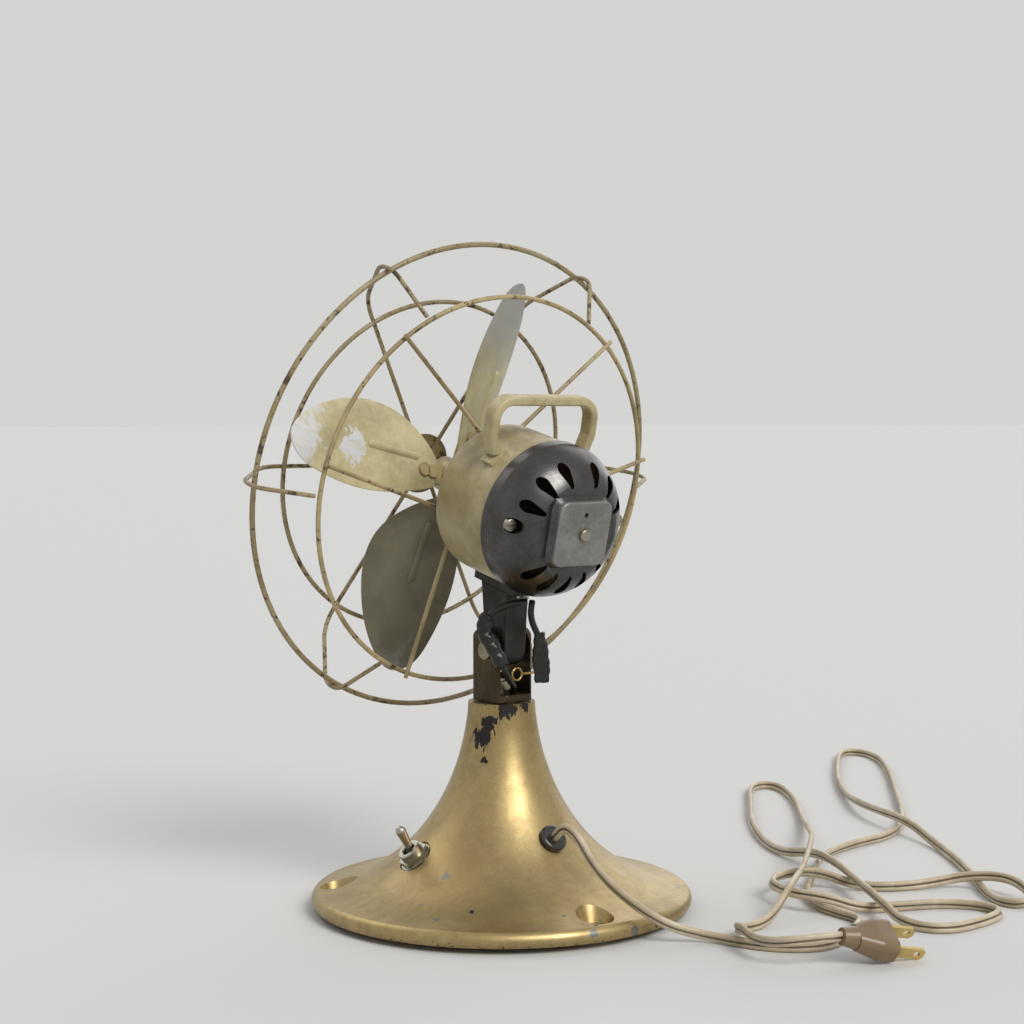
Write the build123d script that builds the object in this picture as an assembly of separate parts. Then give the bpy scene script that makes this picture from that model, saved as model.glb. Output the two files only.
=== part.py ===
from build123d import *
import os
from math import acos, asin, cos, degrees, pi, radians, sin, sqrt, tan

# An old mains desk fan: trumpet base, swivel yoke, tilting motor, wire guard, four blades.
# Millimetres. Z is up, the origin is under the base on the table, the fan blows towards -Y.
# "Angle" in the base means degrees from +Y (the back) towards +X.
# The head is drawn in its own frame: x is +X, y is up across the motor, z is forwards.

# ---------------------------------------------------------------- driving dimensions
# clearances
RUN_FIT = 0.05            # radial clearance of a shaft in its bearing
LOOSE_FIT = 0.3           # gap between curved faces that don't touch
SEAT = 0.02               # gap under a screw head, washer or plate

# base
PAD_THICKNESS = 2.0
PAD_RADIUS = 66.0
PLATE_THICKNESS = 1.2
PLATE_MARGIN = 2.0        # plate shows this much outside the pad
BASE_RADIUS = 95.5
RIM_THICKNESS = 7.2
RIM_ROLL = 2.5
NECK_HEIGHT = 104.5
WAIST_RADIUS = 16.5
FLARE_OUTSET = 4.5        # the flare's ellipse is centred this far outside the rim
FLARE_RISE = 7.5          # and this far above the neck
BASE_WALL = 3.5
NECK_FLOOR = 11.0
RIM_WALL = 7.5
HOLE_CIRCLE_RADIUS = 83.0
HOLE_RADIUS = 2.6
HOLE_FIRST_ANGLE = 5.5
HOLE_COUNT = 3
RECESS_RADIUS = 7.2
RECESS_FLARE = 21.0       # degrees the recess opens upwards on each side
RECESS_FLOOR = 4.2        # metal left under the recess
BOSS_WALL = 3.0
POST_CIRCLE_RADIUS = 56.0
POST_RADIUS = 5.0
POST_FIRST_ANGLE = 35.0
PLATE_SCREW_RADIUS = 1.5
PLATE_SCREW_LENGTH = 11.0
PLATE_SCREW_HEAD_RADIUS = 3.0

# toggle switch
SWITCH_ANGLE = 97.0
SWITCH_RADIUS = 49.5
SWITCH_SEAT_RADIUS = 9.2
SWITCH_SEAT_DEPTH = 0.9
BUSHING_RADIUS = 5.9
BUSHING_BORE = 3.3
BUSHING_RISE = 6.0
BUSHING_DEPTH = 8.0
SWITCH_WASHER_RADIUS = 8.4
SWITCH_WASHER_THICKNESS = 0.8
NUT_ACROSS_FLATS = 14.0
NUT_THICKNESS = 2.6
LEVER_PIVOT_RISE = 1.0
LEVER_BALL_RADIUS = 2.9
LEVER_ROOT_RADIUS = 1.3
LEVER_TIP_RADIUS = 2.6
LEVER_LENGTH = 17.5
LEVER_THROW = 13.0        # degrees each side of the bushing's axis
LEVER_PIN_RADIUS = 0.8
SWITCH_BODY_SIZE = (27.0, 13.0, 17.0)
TERMINAL_SIZE = (5.0, 0.8, 6.0)

# grommet and mains cord
GROMMET_RADIUS = 7.0
GROMMET_HOLE_RADIUS = 5.4  # hole in the casting
GROMMET_CUFF = 2.2
GROMMET_OUTSTAND = 3.4
GROMMET_ROUND = 1.5
GROMMET_ANGLE = 0.7
GROMMET_AT_RADIUS = 40.5
CORD_DIAMETER = 5.2
CORD_REACH = 4.0          # cord goes this far into the grommet
CORD_POINTS = (
    (0.5, 50.5, 49.0), (-1.5, 58.0, 44.5), (-3.0, 66.5, 33.5), (-4.5, 79.5, 24.0),
    (-8.0, 95.0, 16.0), (-17.0, 107.5, 8.0), (-34.0, 116.0, 2.7), (-41.5, 144.5, 2.7),
    (-59.5, 161.0, 2.7), (-82.0, 158.0, 2.7), (-100.5, 147.5, 2.7), (-115.0, 138.5, 2.7),
    (-115.5, 123.5, 2.7), (-117.5, 105.0, 2.7), (-137.0, 79.5, 2.7), (-168.5, 56.0, 2.7),
    (-203.5, 27.5, 2.7), (-241.5, 16.5, 2.7), (-278.0, 15.0, 2.7), (-318.5, -10.5, 2.7),
    (-360.0, -50.5, 2.7), (-408.5, -99.0, 2.7), (-451.0, -142.0, 2.7), (-474.0, -169.5, 2.7),
    (-484.5, -191.5, 2.7), (-477.0, -204.0, 2.7), (-459.0, -194.0, 2.7), (-430.0, -168.5, 2.7),
    (-394.0, -136.0, 2.7), (-353.0, -91.5, 2.7), (-319.0, -47.0, 7.0), (-303.0, -16.5, 9.0),
    (-293.0, 14.0, 9.0), (-279.0, 46.0, 2.7), (-256.0, 80.0, 2.7), (-229.5, 114.0, 2.7),
    (-207.0, 139.0, 2.7), (-197.5, 155.0, 2.7), (-199.0, 166.0, 2.7), (-209.0, 168.0, 4.0),
    (-217.0, 157.0, 7.0), (-221.0, 141.0, 9.2), (-215.0, 121.5, 7.0), (-197.0, 108.5, 2.7),
    (-175.0, 100.5, 2.7), (-164.5, 87.0, 3.0), (-154.5, 72.0, 9.0), (-139.0, 64.5, 9.0),
    (-116.5, 72.0, 9.0), (-107.0, 95.5, 9.0), (-115.0, 114.5, 9.0), (-129.0, 124.0, 3.0),
    (-150.5, 132.0, 2.7), (-171.5, 141.0, 2.7), (-184.0, 157.5, 2.7), (-180.5, 172.0, 2.7),
    (-158.0, 177.5, 2.7), (-131.0, 176.5, 2.7), (-123.5, 156.5, 2.7), (-131.0, 136.0, 9.0),
    (-151.5, 103.5, 9.0), (-173.5, 70.0, 9.0), (-188.5, 38.5, 9.0), (-192.0, 8.0, 2.7),
    (-210.0, -26.0, 2.7), (-246.5, -71.0, 2.7), (-285.5, -109.0, 2.7), (-312.0, -136.5, 2.7),
    (-328.5, -148.0, 2.7), (-339.0, -142.0, 2.7), (-330.5, -122.0, 2.7), (-308.0, -91.5, 2.7),
    (-270.5, -49.5, 2.7), (-232.5, -8.0, 8.0), (-197.0, 27.5, 15.0), (-166.0, 54.0, 15.0),
    (-131.0, 82.5, 15.0), (-103.5, 101.5, 15.0), (-76.5, 113.5, 2.7), (-55.0, 115.0, 2.7),
    (-45.5, 121.5, 6.2), (-38.5, 133.0, 9.4), (-29.5, 149.5, 9.2), (-27.0, 165.0, 11.0),
    (-36.5, 178.0, 13.9), (-51.5, 182.6, 13.6),
)

# plug
PLUG_HEADING = 164.0      # degrees from +X towards +Y
PLUG_DROOP = 10.0         # its front edge and a blade's corner rest on the table
PLUG_ROLL = 56.0
PLUG_LENGTH = 18.5
PLUG_NECK_LENGTH = 7.0
PLUG_NECK_RADIUS = 4.0
PLUG_WIDTH = 19.5
PLUG_DEPTH = 12.0
PLUG_CORNER = 4.0
PLUG_BLADE_LENGTH = 16.0
PLUG_BLADE_WIDTH = 6.3
PLUG_BLADE_THICKNESS = 1.5
PLUG_BLADE_SPACING = 12.7
PLUG_BLADE_HOLE = 1.6

# yoke and tilt hinge
YOKE_GAP = 0.6            # yoke floor above the neck
YOKE_FLOOR = 3.4
YOKE_WIDTH = 24.0
YOKE_EAR = 2.6
YOKE_FRONT = 10.5
YOKE_BACK = 11.5
YOKE_WEB_HEIGHT = 9.0
YOKE_CORNER = 4.0
PIVOT_Y = 3.0
PIVOT_RISE = 26.5         # tilt pin above the neck
PIN_RADIUS = 3.0
PIN_HEAD_RADIUS = 4.6
PIN_HEAD_THICKNESS = 1.6
PIN_CLIP_WIRE = 0.6
PIN_CLIP_RING = 3.0
PIN_CLIP_HOOK = 2.4
PIN_CLIP_RISE = 10.5      # above the yoke's floor
SWIVEL_RADIUS = 4.0
SWIVEL_HEAD_SIZE = 8.8
SWIVEL_HEAD_HEIGHT = 4.6
SWIVEL_WASHER_RADIUS = 6.6
SWIVEL_WASHER_THICKNESS = 1.0
SWIVEL_WASHERS = 2
SWIVEL_NUT_FLATS = 13.0
SWIVEL_NUT_HEIGHT = 5.0
LEAD_HOLE_RADIUS = 2.2
LEAD_HOLE_OFFSET = 7.6

# head frame
TILT = 13.5               # degrees the motor looks up at rest
PIVOT_BACK = 57.4         # tilt pin behind the outer guard ring, along the motor's axis

# motor
MOTOR_RADIUS = 37.8
MOTOR_FRONT = -29.3       # along the motor's axis, from the outer guard ring
MOTOR_REAR = -75.0
FRONT_EDGE_ROUND = 8.0
MOTOR_WALL = 2.0
COVER_RADIUS = 38.6
COVER_WALL = 1.2
COVER_LIP = 3.0
COVER_STRAIGHT = 3.0
COVER_DEPTH = 22.5
COVER_FLAT_RADIUS = 24.0
COVER_BULGE_RADIUS = 34.6
COVER_BULGE_DEPTH = 12.5
VENT_TIP_RADIUS = 23.2
VENT_END_RADIUS = 30.6
VENT_END_WIDTH = 3.0
VENT_TIP_WIDTH = 0.9
UPPER_VENT_ANGLES = (-67.0, -42.5, -18.0, 18.0, 42.5, 67.0)
LOWER_VENT_ANGLES = (136.0, 158.0, 180.0, 202.0, 224.0)
REAR_PLATE_SIZE = 32.0
REAR_PLATE_CORNER = 5.0
REAR_PLATE_THICKNESS = 2.8
REAR_PLATE_ROUND = 1.0
PLATFORM_MARGIN = 2.2     # raised square of the dome, outside the plate's edge
PLATFORM_RISE = 2.2
PLATFORM_TAPER = 40.0
REAR_PLATE_HOLE = 1.2
REAR_PLATE_HOLE_Y = 9.5
REAR_SCREW_RADIUS = 3.0
REAR_SCREW_HEAD_HEIGHT = 2.2
REAR_SCREW_ROUND = 0.9
COVER_SCREW_RADIUS = 1.6
COVER_SCREW_HEAD = 3.3
COVER_SCREW_HEAD_HEIGHT = 2.6
COVER_SCREW_HEAD_ROUND = 0.8
COVER_SCREW_SLOT = (8.0, 0.9, 1.4)
COVER_SCREW_CIRCLE = 33.2
COVER_SCREW_ANGLE = 87.0
COVER_SCREW_SEAT = 11.0   # seat behind the drum's rear edge
COVER_SCREW_LAND = 0.8    # flat round the head, of the metal left around it
COVER_SCREW_ROOM = 0.4
COVER_SCREW_LAND_DEPTH = 2.5
COVER_SCREW_GRIP = 12.0   # thread in the laminations
STATOR_FRONT = -44.0
STATOR_LENGTH = 22.0
AIR_GAP = 0.4
ROTOR_RADIUS = 17.0
ROTOR_LENGTH = 22.0
COIL_THICKNESS = 8.0
COIL_INNER_RADIUS = 20.0
COIL_OUTER_RADIUS = 31.0
COIL_GAP_ANGLE = 16.0
SHAFT_RADIUS = 3.0
BEARING_RADIUS = 6.0
FRONT_BEARING_LENGTH = 9.0
FRONT_BEARING_OUTSTAND = 3.0
REAR_BEARING_LENGTH = 9.0
COLLAR_RADIUS = 5.0
COLLAR_LENGTH = 2.0
COLLAR_GAP = 0.4

# carrying handle
HANDLE_AT = -59.0
HANDLE_WIDTH = 8.5
HANDLE_THICKNESS = 4.6
HANDLE_HEIGHT = 55.6      # middle of the grip above the motor's axis
HANDLE_HALF_SPAN = 30.6
HANDLE_CORNER = 9.0
HANDLE_FOOT_ANGLE = 43.0
HANDLE_PAD_LENGTH = 11.0
HANDLE_PAD_THICKNESS = 2.2
HANDLE_ELBOW_RISE = 9.0

# tilt arm and saddle
SADDLE_FRONT = -35.0
SADDLE_REAR = -68.0
SADDLE_WIDTH = 17.0
SADDLE_THICKNESS = 3.4
ARM_WIDTH = 14.0
ARM_EYE_RADIUS = 8.3
ARM_REACH = 31.2          # from the saddle's underside to the tilt pin, square to the axis
ARM_TOP_FRONT = -38.0
ARM_TOP_REAR = -61.0
SADDLE_SCREW_RADIUS = 2.0
SADDLE_SCREW_HEAD = 3.4
SADDLE_SCREW_HEAD_HEIGHT = 2.2

# motor leads, from the tilt pin's middle
LEAD_DIAMETER = 3.2
LEAD_LEFT = ((3.0, 21.5, 25.4), (9.0, 17.6, 24.6), (14.8, 12.9, 22.0), (19.4, 9.2, 16.5),
             (20.6, 8.6, 10.5), (16.8, 12.0, 2.5), (13.4, 15.0, -6.5), (6.5, 12.0, -14.5),
             (0.0, 7.5, -18.4), (0.0, 4.6, -21.6))
LEAD_RIGHT = ((-0.5, 21.0, 25.4), (-1.0, 19.0, 19.5), (-3.6, 17.2, 14.0), (-6.2, 17.6, 9.0),
              (-7.2, 18.4, 4.0))
SLEEVE_DIAMETER = 7.2
TAPE_TOP = (3.8, 4.8)
TAPE_MIDDLE = (3.4, 8.0)
TAPE_FOOT = (2.6, 6.8)
TAPE_LENGTH = 25.0
TAPE_TURN = 52.0

# blades and hub
BLADE_COUNT = 4
BLADE_FIRST_ANGLE = -13.5
BLADE_CENTRE = 3.0        # blade middle, along the axis from the outer guard ring
BLADE_TIP_RADIUS = 105.5
BLADE_THICKNESS = 1.0
BLADE_PITCH = 26.0
BLADE_CAMBER_RADIUS = 75.0
BLADE_OUTLINE = ((-7.5, 13.5), (-19.0, 23.0), (-28.0, 36.0), (-30.8, 50.0), (-28.5, 66.0),
                 (-21.5, 84.0), (-11.5, 98.5), (0.0, BLADE_TIP_RADIUS), (9.0, 100.5),
                 (14.6, 87.0), (17.2, 70.0), (17.2, 52.0), (14.0, 34.0), (8.0, 14.5))
RIB_OFFSET = -5.6
RIB_RADIUS = 2.0
RIB_END = 57.0
HUB_RADIUS = 9.0
HUB_FRONT = 12.0
HUB_REAR = -10.0
SPIDER_ARM_WIDTH = 11.0
SPIDER_ARM_REACH = 25.0
SPIDER_ARM_THICKNESS = 2.0
BLADE_RIVET_RADIUS = 2.0
BLADE_RIVET_HEAD = 1.1
BLADE_RIVET_RADII = (16.5, 22.0)
SET_SCREW_RADIUS = 2.0
SHAFT_OUTSTAND = 2.0

# guard
GUARD_RADIUS = 121.7
FRONT_RING_RADIUS = 86.9
FRONT_RING_AT = 30.2
REAR_RING_RADIUS = 99.9
REAR_RING_AT = -24.6
OUTER_WIRE = 1.35         # wire radii
RING_WIRE = 1.2
GUARD_WIRE = 1.1
WELD = 0.15               # wires sink this far into each other at a weld
GUARD_WIRES = 6
GUARD_FIRST_ANGLE = 30.0
GUARD_WIRE_START = 8.0
GUARD_LOOP_FRONT = 6.0    # height of the loop's front and rear bends
GUARD_LOOP_REAR = -6.0
SUPPORTS = 3
SUPPORT_SPREAD = 39.2     # degrees from a support's middle to each end on the rear ring
SUPPORT_APEX_RADIUS = 30.5
SUPPORT_SCREW_RADIUS = 2.0
SUPPORT_SCREW_HEAD = 4.2
SUPPORT_SCREW_HEIGHT = 2.4
SUPPORT_TAIL = 2.5
DISC_RADIUS = 16.0
DISC_THICKNESS = 1.6
DISC_RIVET_RADIUS = 2.6

# ---------------------------------------------------------------- worked-out values
BASE_GAP = PAD_THICKNESS + PLATE_THICKNESS
FLARE_CENTRE_R = BASE_RADIUS + FLARE_OUTSET
FLARE_CENTRE_Z = NECK_HEIGHT + FLARE_RISE
FLARE_HALF_WIDTH = FLARE_CENTRE_R - WAIST_RADIUS
FLARE_HALF_HEIGHT = FLARE_CENTRE_Z - BASE_GAP - RIM_THICKNESS + 0.4
YOKE_BASE = NECK_HEIGHT + YOKE_GAP
YOKE_TOP = YOKE_BASE + YOKE_FLOOR
CLIP_HEIGHT = YOKE_TOP + PIN_CLIP_RISE
MOTOR_INNER = MOTOR_RADIUS - MOTOR_WALL
COVER_BACK = MOTOR_REAR - COVER_DEPTH
STATOR_REAR = STATOR_FRONT - STATOR_LENGTH
SADDLE_TOP = MOTOR_RADIUS + SEAT
SADDLE_BOTTOM = SADDLE_TOP + SADDLE_THICKNESS
STATOR_RADIUS = MOTOR_INNER - LOOSE_FIT
PLATE_SEAT = COVER_BACK - PLATFORM_RISE
RIB_START = SPIDER_ARM_REACH + RIB_RADIUS + LOOSE_FIT

PIVOT_HEIGHT = NECK_HEIGHT + PIVOT_RISE
PIVOT = Vector(0, PIVOT_Y, PIVOT_HEIGHT)
AXIS_FORWARD = Vector(0, -cos(radians(TILT)), sin(radians(TILT)))
AXIS_UP = Vector(0, sin(radians(TILT)), cos(radians(TILT)))
HEAD_CENTRE = PIVOT + AXIS_UP * (SADDLE_BOTTOM + ARM_REACH) + AXIS_FORWARD * PIVOT_BACK
HEAD = Plane(origin=HEAD_CENTRE, x_dir=(1, 0, 0), z_dir=AXIS_FORWARD)


# ---------------------------------------------------------------- helpers
def flare_height(r, wall=0.0):
    """Height of the trumpet's outside (or of its inside, one wall in) at radius r."""
    share = (FLARE_CENTRE_R - r) / (FLARE_HALF_WIDTH + wall)
    return FLARE_CENTRE_Z - (FLARE_HALF_HEIGHT + wall) * sqrt(1 - share * share)


def flare_radius(z, wall=0.0):
    """Radius of the trumpet's outside (or inside) at height z."""
    share = (FLARE_CENTRE_Z - z) / (FLARE_HALF_HEIGHT + wall)
    return FLARE_CENTRE_R - (FLARE_HALF_WIDTH + wall) * sqrt(1 - share * share)


def around_z(angle, r, z=0.0):
    """Point at an angle from +Y towards +X."""
    return Vector(r * sin(radians(angle)), r * cos(radians(angle)), z)


def flare_plane(angle, r):
    """Plane on the trumpet at an angle and radius: x is level, y is uphill, z is outwards."""
    z = flare_height(r)
    slope = Vector((FLARE_CENTRE_R - r) / FLARE_HALF_WIDTH ** 2, 0,
                   (FLARE_CENTRE_Z - z) / FLARE_HALF_HEIGHT ** 2).normalized()
    out = around_z(angle, 1.0)
    normal = out * slope.X + Vector(0, 0, slope.Z)
    level = Vector(-out.Y, out.X, 0)
    return Plane(origin=around_z(angle, r, z), x_dir=level, z_dir=normal)


def disc(radius, z0, z1):
    """Cylinder on the local z axis between two heights."""
    return Pos(0, 0, (z0 + z1) / 2) * Cylinder(radius, abs(z1 - z0))


def ring(outer, inner, z0, z1):
    """Tube on the local z axis between two heights."""
    return disc(outer, z0, z1) - disc(inner, z0 - 1, z1 + 1)


def prism_nut(flats, hole, z0, z1):
    """Hexagon nut on the local z axis with a plain bore."""
    blank = Pos(0, 0, z0) * extrude(RegularPolygon(flats / 2, 6, major_radius=False), z1 - z0)
    return blank - disc(hole, z0 - 1, z1 + 1)


def polar(angle, r, z=0.0):
    """Point in the head's frame at an angle from up towards +X."""
    return (r * sin(radians(angle)), r * cos(radians(angle)), z)


def turned(angle):
    """Turn about the motor's axis by an angle from up towards +X."""
    return Rot(0, 0, -angle)


def revolve_profile(points_and_edges):
    """Turn a closed outline drawn in radius and height about the local z axis."""
    face = make_face(Plane.XZ * points_and_edges)
    return revolve(face, axis=Axis.Z)


def bend_radii(points, share=0.45, largest=1000.0):
    """Radius of each corner of a route: a share of the shorter run over tan of half the turn."""
    radii = []
    for before, here, after in zip(points, points[1:], points[2:]):
        run_in, run_out = here - before, after - here
        half_turn = radians(run_in.get_angle(run_out)) / 2
        radii.append(min(largest, share * min(run_in.length, run_out.length) / tan(half_turn)))
    return radii


def tube_along(points, radius, radii=None):
    """Round tube along straight runs and tangent arcs; returns the solid and its length."""
    corners = [Vector(point) for point in points]
    path = FilletPolyline(*corners, radius=radii or bend_radii(corners))
    start = Plane(origin=corners[0], z_dir=corners[1] - corners[0])
    return sweep(start * Circle(radius), path=path), path.length


def save(name, shape):
    """Write one node as its own STEP file."""
    export_step(shape, f"parts/{name}.step")


def group(*solids):
    """Several separate solids kept in one node."""
    return Compound(children=[solid for shape in solids for solid in shape.solids()])


# ---------------------------------------------------------------- base
def base_outline(wall, top, low_radius):
    """Half outline of the trumpet between its top and the rim."""
    start = 180 + degrees(asin((FLARE_CENTRE_Z - top) / (FLARE_HALF_HEIGHT + wall)))
    end = 180 + degrees(acos((FLARE_CENTRE_R - low_radius) / (FLARE_HALF_WIDTH + wall)))
    return EllipticalCenterArc((FLARE_CENTRE_R, FLARE_CENTRE_Z), FLARE_HALF_WIDTH + wall,
                               FLARE_HALF_HEIGHT + wall, start_angle=start, arc_size=end - start)


def make_base_casting():
    """Hollow trumpet with a rolled rim, recessed holes, posts and a spot-faced switch seat."""
    flare = base_outline(0.0, NECK_HEIGHT, BASE_RADIUS - RIM_ROLL)
    low = flare_height(BASE_RADIUS - RIM_ROLL)
    roll = ThreePointArc((BASE_RADIUS - RIM_ROLL, low), (BASE_RADIUS - 0.2, low - RIM_ROLL),
                         (BASE_RADIUS - 0.8, BASE_GAP))
    outside = flare + roll + Polyline((BASE_RADIUS - 0.8, BASE_GAP), (0, BASE_GAP),
                                      (0, NECK_HEIGHT), (flare_radius(NECK_HEIGHT), NECK_HEIGHT))
    body = revolve_profile(outside)

    ceiling = NECK_HEIGHT - NECK_FLOOR
    cavity_radius = BASE_RADIUS - RIM_WALL
    inner = base_outline(BASE_WALL, ceiling, cavity_radius)
    inside = inner + Polyline((cavity_radius, flare_height(cavity_radius, BASE_WALL)),
                              (cavity_radius, BASE_GAP - 1), (0, BASE_GAP - 1), (0, ceiling),
                              (flare_radius(ceiling, BASE_WALL), ceiling))
    shell = body - revolve_profile(inside)

    recess_floor = BASE_GAP + RECESS_FLOOR
    for index in range(HOLE_COUNT):
        angle = HOLE_FIRST_ANGLE + index * 360 / HOLE_COUNT
        here = Pos(around_z(angle, HOLE_CIRCLE_RADIUS))
        boss = here * disc(RECESS_RADIUS + BOSS_WALL, BASE_GAP, NECK_HEIGHT)
        shell += boss & body
    for index in range(HOLE_COUNT):
        angle = HOLE_FIRST_ANGLE + index * 360 / HOLE_COUNT
        here = Pos(around_z(angle, HOLE_CIRCLE_RADIUS))
        depth = NECK_HEIGHT - recess_floor
        scoop = Cone(RECESS_RADIUS, RECESS_RADIUS + depth * tan(radians(RECESS_FLARE)), depth)
        shell -= here * Pos(0, 0, recess_floor + depth / 2) * scoop
        shell -= here * disc(HOLE_RADIUS, 0, NECK_HEIGHT)
        post_at = Pos(around_z(POST_FIRST_ANGLE + index * 360 / HOLE_COUNT, POST_CIRCLE_RADIUS))
        shell += post_at * disc(POST_RADIUS, BASE_GAP, NECK_HEIGHT) & body
        shell -= post_at * disc(PLATE_SCREW_RADIUS + SEAT, 0, BASE_GAP + PLATE_SCREW_LENGTH)

    seat = flare_plane(SWITCH_ANGLE, SWITCH_RADIUS)
    shell -= seat.location * disc(SWITCH_SEAT_RADIUS, -SWITCH_SEAT_DEPTH, 12)
    shell -= seat.location * disc(BUSHING_RADIUS + SEAT, -15, 12)
    outlet = flare_plane(GROMMET_ANGLE, GROMMET_AT_RADIUS)
    shell -= outlet.location * disc(GROMMET_HOLE_RADIUS, -12, 12)
    shell -= disc(SWIVEL_RADIUS + RUN_FIT, ceiling - 1, NECK_HEIGHT + 1)
    shell -= Pos(0, LEAD_HOLE_OFFSET + 3.0, 0) * disc(LEAD_HOLE_RADIUS, ceiling - 1,
                                                      NECK_HEIGHT + 1)
    return shell


def make_bottom():
    """Bottom plate, felt pad and the plate's screws."""
    plate = disc(PAD_RADIUS + PLATE_MARGIN, PAD_THICKNESS, BASE_GAP)
    pad = disc(PAD_RADIUS, 0, PAD_THICKNESS)
    screws = []
    for index in range(HOLE_COUNT):
        here = Pos(around_z(POST_FIRST_ANGLE + index * 360 / HOLE_COUNT, POST_CIRCLE_RADIUS))
        plate -= here * disc(PLATE_SCREW_RADIUS + SEAT, 0, BASE_GAP + 1)
        pad -= here * disc(PLATE_SCREW_HEAD_RADIUS + SEAT, -1, PAD_THICKNESS + 1)
        screws.append(here * (disc(PLATE_SCREW_HEAD_RADIUS, PAD_THICKNESS - 1.2, PAD_THICKNESS)
                              + disc(PLATE_SCREW_RADIUS, PAD_THICKNESS,
                                     BASE_GAP + PLATE_SCREW_LENGTH - 1)))
    return plate, pad, group(*screws)


def make_switch():
    """Toggle switch: case, collar, washer, nut and lever, in place on the trumpet."""
    place = flare_plane(SWITCH_ANGLE, SWITCH_RADIUS).location
    seat = -SWITCH_SEAT_DEPTH
    length, width, height = SWITCH_BODY_SIZE
    case = Pos(0, 0, -BUSHING_DEPTH - height / 2) * Box(length, width, height)
    case = fillet(case.edges().filter_by(Axis.Z), 1.0)
    for side in (-1, 1):
        foot = -BUSHING_DEPTH - height - TERMINAL_SIZE[2] / 2
        case += Pos(side * length / 4, 0, foot) * Box(*TERMINAL_SIZE)
    bushing = ring(BUSHING_RADIUS, BUSHING_BORE, -BUSHING_DEPTH, BUSHING_RISE)
    bushing = chamfer(bushing.edges().group_by(Axis.Z)[-1], 0.5)
    washer = ring(SWITCH_WASHER_RADIUS, BUSHING_RADIUS + SEAT, seat, seat + SWITCH_WASHER_THICKNESS)
    nut_foot = seat + SWITCH_WASHER_THICKNESS
    nut = prism_nut(NUT_ACROSS_FLATS, BUSHING_RADIUS + SEAT, nut_foot, nut_foot + NUT_THICKNESS)

    ball = Sphere(LEVER_BALL_RADIUS)
    tip_centre = LEVER_LENGTH - LEVER_TIP_RADIUS
    bat = Pos(0, 0, tip_centre / 2) * Cone(LEVER_ROOT_RADIUS, LEVER_TIP_RADIUS, tip_centre)
    lever = ball + bat + Pos(0, 0, tip_centre) * Sphere(LEVER_TIP_RADIUS)
    pin_reach = sqrt((BUSHING_BORE - RUN_FIT) ** 2 - LEVER_PIN_RADIUS ** 2)
    lever += Rot(0, 90, 0) * Cylinder(LEVER_PIN_RADIUS, 2 * pin_reach)
    lever = Pos(0, 0, LEVER_PIVOT_RISE) * Rot(-LEVER_THROW, 0, 0) * lever
    return [place * shape for shape in (case, bushing, washer, nut, lever)]


def make_grommet():
    """Rubber bush with a groove that grips the casting; the cord passes its bore."""
    place = flare_plane(GROMMET_ANGLE, GROMMET_AT_RADIUS).location
    groove_in = -BASE_WALL - 1.6
    bush = disc(GROMMET_HOLE_RADIUS - SEAT, groove_in - GROMMET_CUFF, GROMMET_OUTSTAND)
    bush += disc(GROMMET_RADIUS, groove_in - GROMMET_CUFF, groove_in)
    bush += disc(GROMMET_RADIUS, 0.9, GROMMET_OUTSTAND)
    bush = fillet(bush.edges().group_by(Axis.Z)[-1], GROMMET_ROUND)
    bush -= disc(CORD_DIAMETER / 2 + SEAT, -20, 20)
    return place * bush


def make_harness():
    """Wires inside the base, from the cord to the switch and from there up the neck."""
    inlet = flare_plane(GROMMET_ANGLE, GROMMET_AT_RADIUS)
    switch = flare_plane(SWITCH_ANGLE, SWITCH_RADIUS)
    depth = BUSHING_DEPTH + SWITCH_BODY_SIZE[2] + TERMINAL_SIZE[2]
    wires = []
    for side in (-1, 1):
        terminal = switch.origin - switch.z_dir * (depth + 1.2)
        terminal = terminal + switch.x_dir * (side * SWITCH_BODY_SIZE[0] / 4)
        end = inlet.origin - inlet.z_dir * 12 + Vector(side * 2.5, 0, 0)
        points = [terminal, Vector(terminal.X * 0.6, terminal.Y * 0.6, 9.5),
                  Vector(side * 3.0, 6.0 + side * 3.0, 10.0), Vector(side * 3.0, 14.0, 22.0), end]
        wires.append(tube_along([tuple(point) for point in points], 1.1)[0])
    riser_top = NECK_HEIGHT - 2
    riser = [(0, 0, 40.0), (-2.0, 4.0, 60.0), (0, 9.6, 80.0), (0, LEAD_HOLE_OFFSET + 3.0, riser_top)]
    wires.append(tube_along(riser, 1.6)[0])
    return group(*wires)


# ---------------------------------------------------------------- cord and plug
def make_cord():
    """Lamp cord as a plain tube lying on the table, from the grommet to the plug."""
    outlet = flare_plane(GROMMET_ANGLE, GROMMET_AT_RADIUS)
    start = outlet.origin - outlet.z_dir * CORD_REACH
    first = outlet.origin + outlet.z_dir * 4.2
    points = [tuple(start), tuple(first)] + list(CORD_POINTS)
    corners = [Vector(*point) for point in points]
    radii = bend_radii(corners)
    tube, length = tube_along(points, CORD_DIAMETER / 2, radii)
    print("cord bend radii", [round(radius) for radius in radii])
    print("cord length %.0f, volume over section times length %.3f"
          % (length, tube.volume / (pi * CORD_DIAMETER ** 2 / 4 * length)))
    return tube


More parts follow.
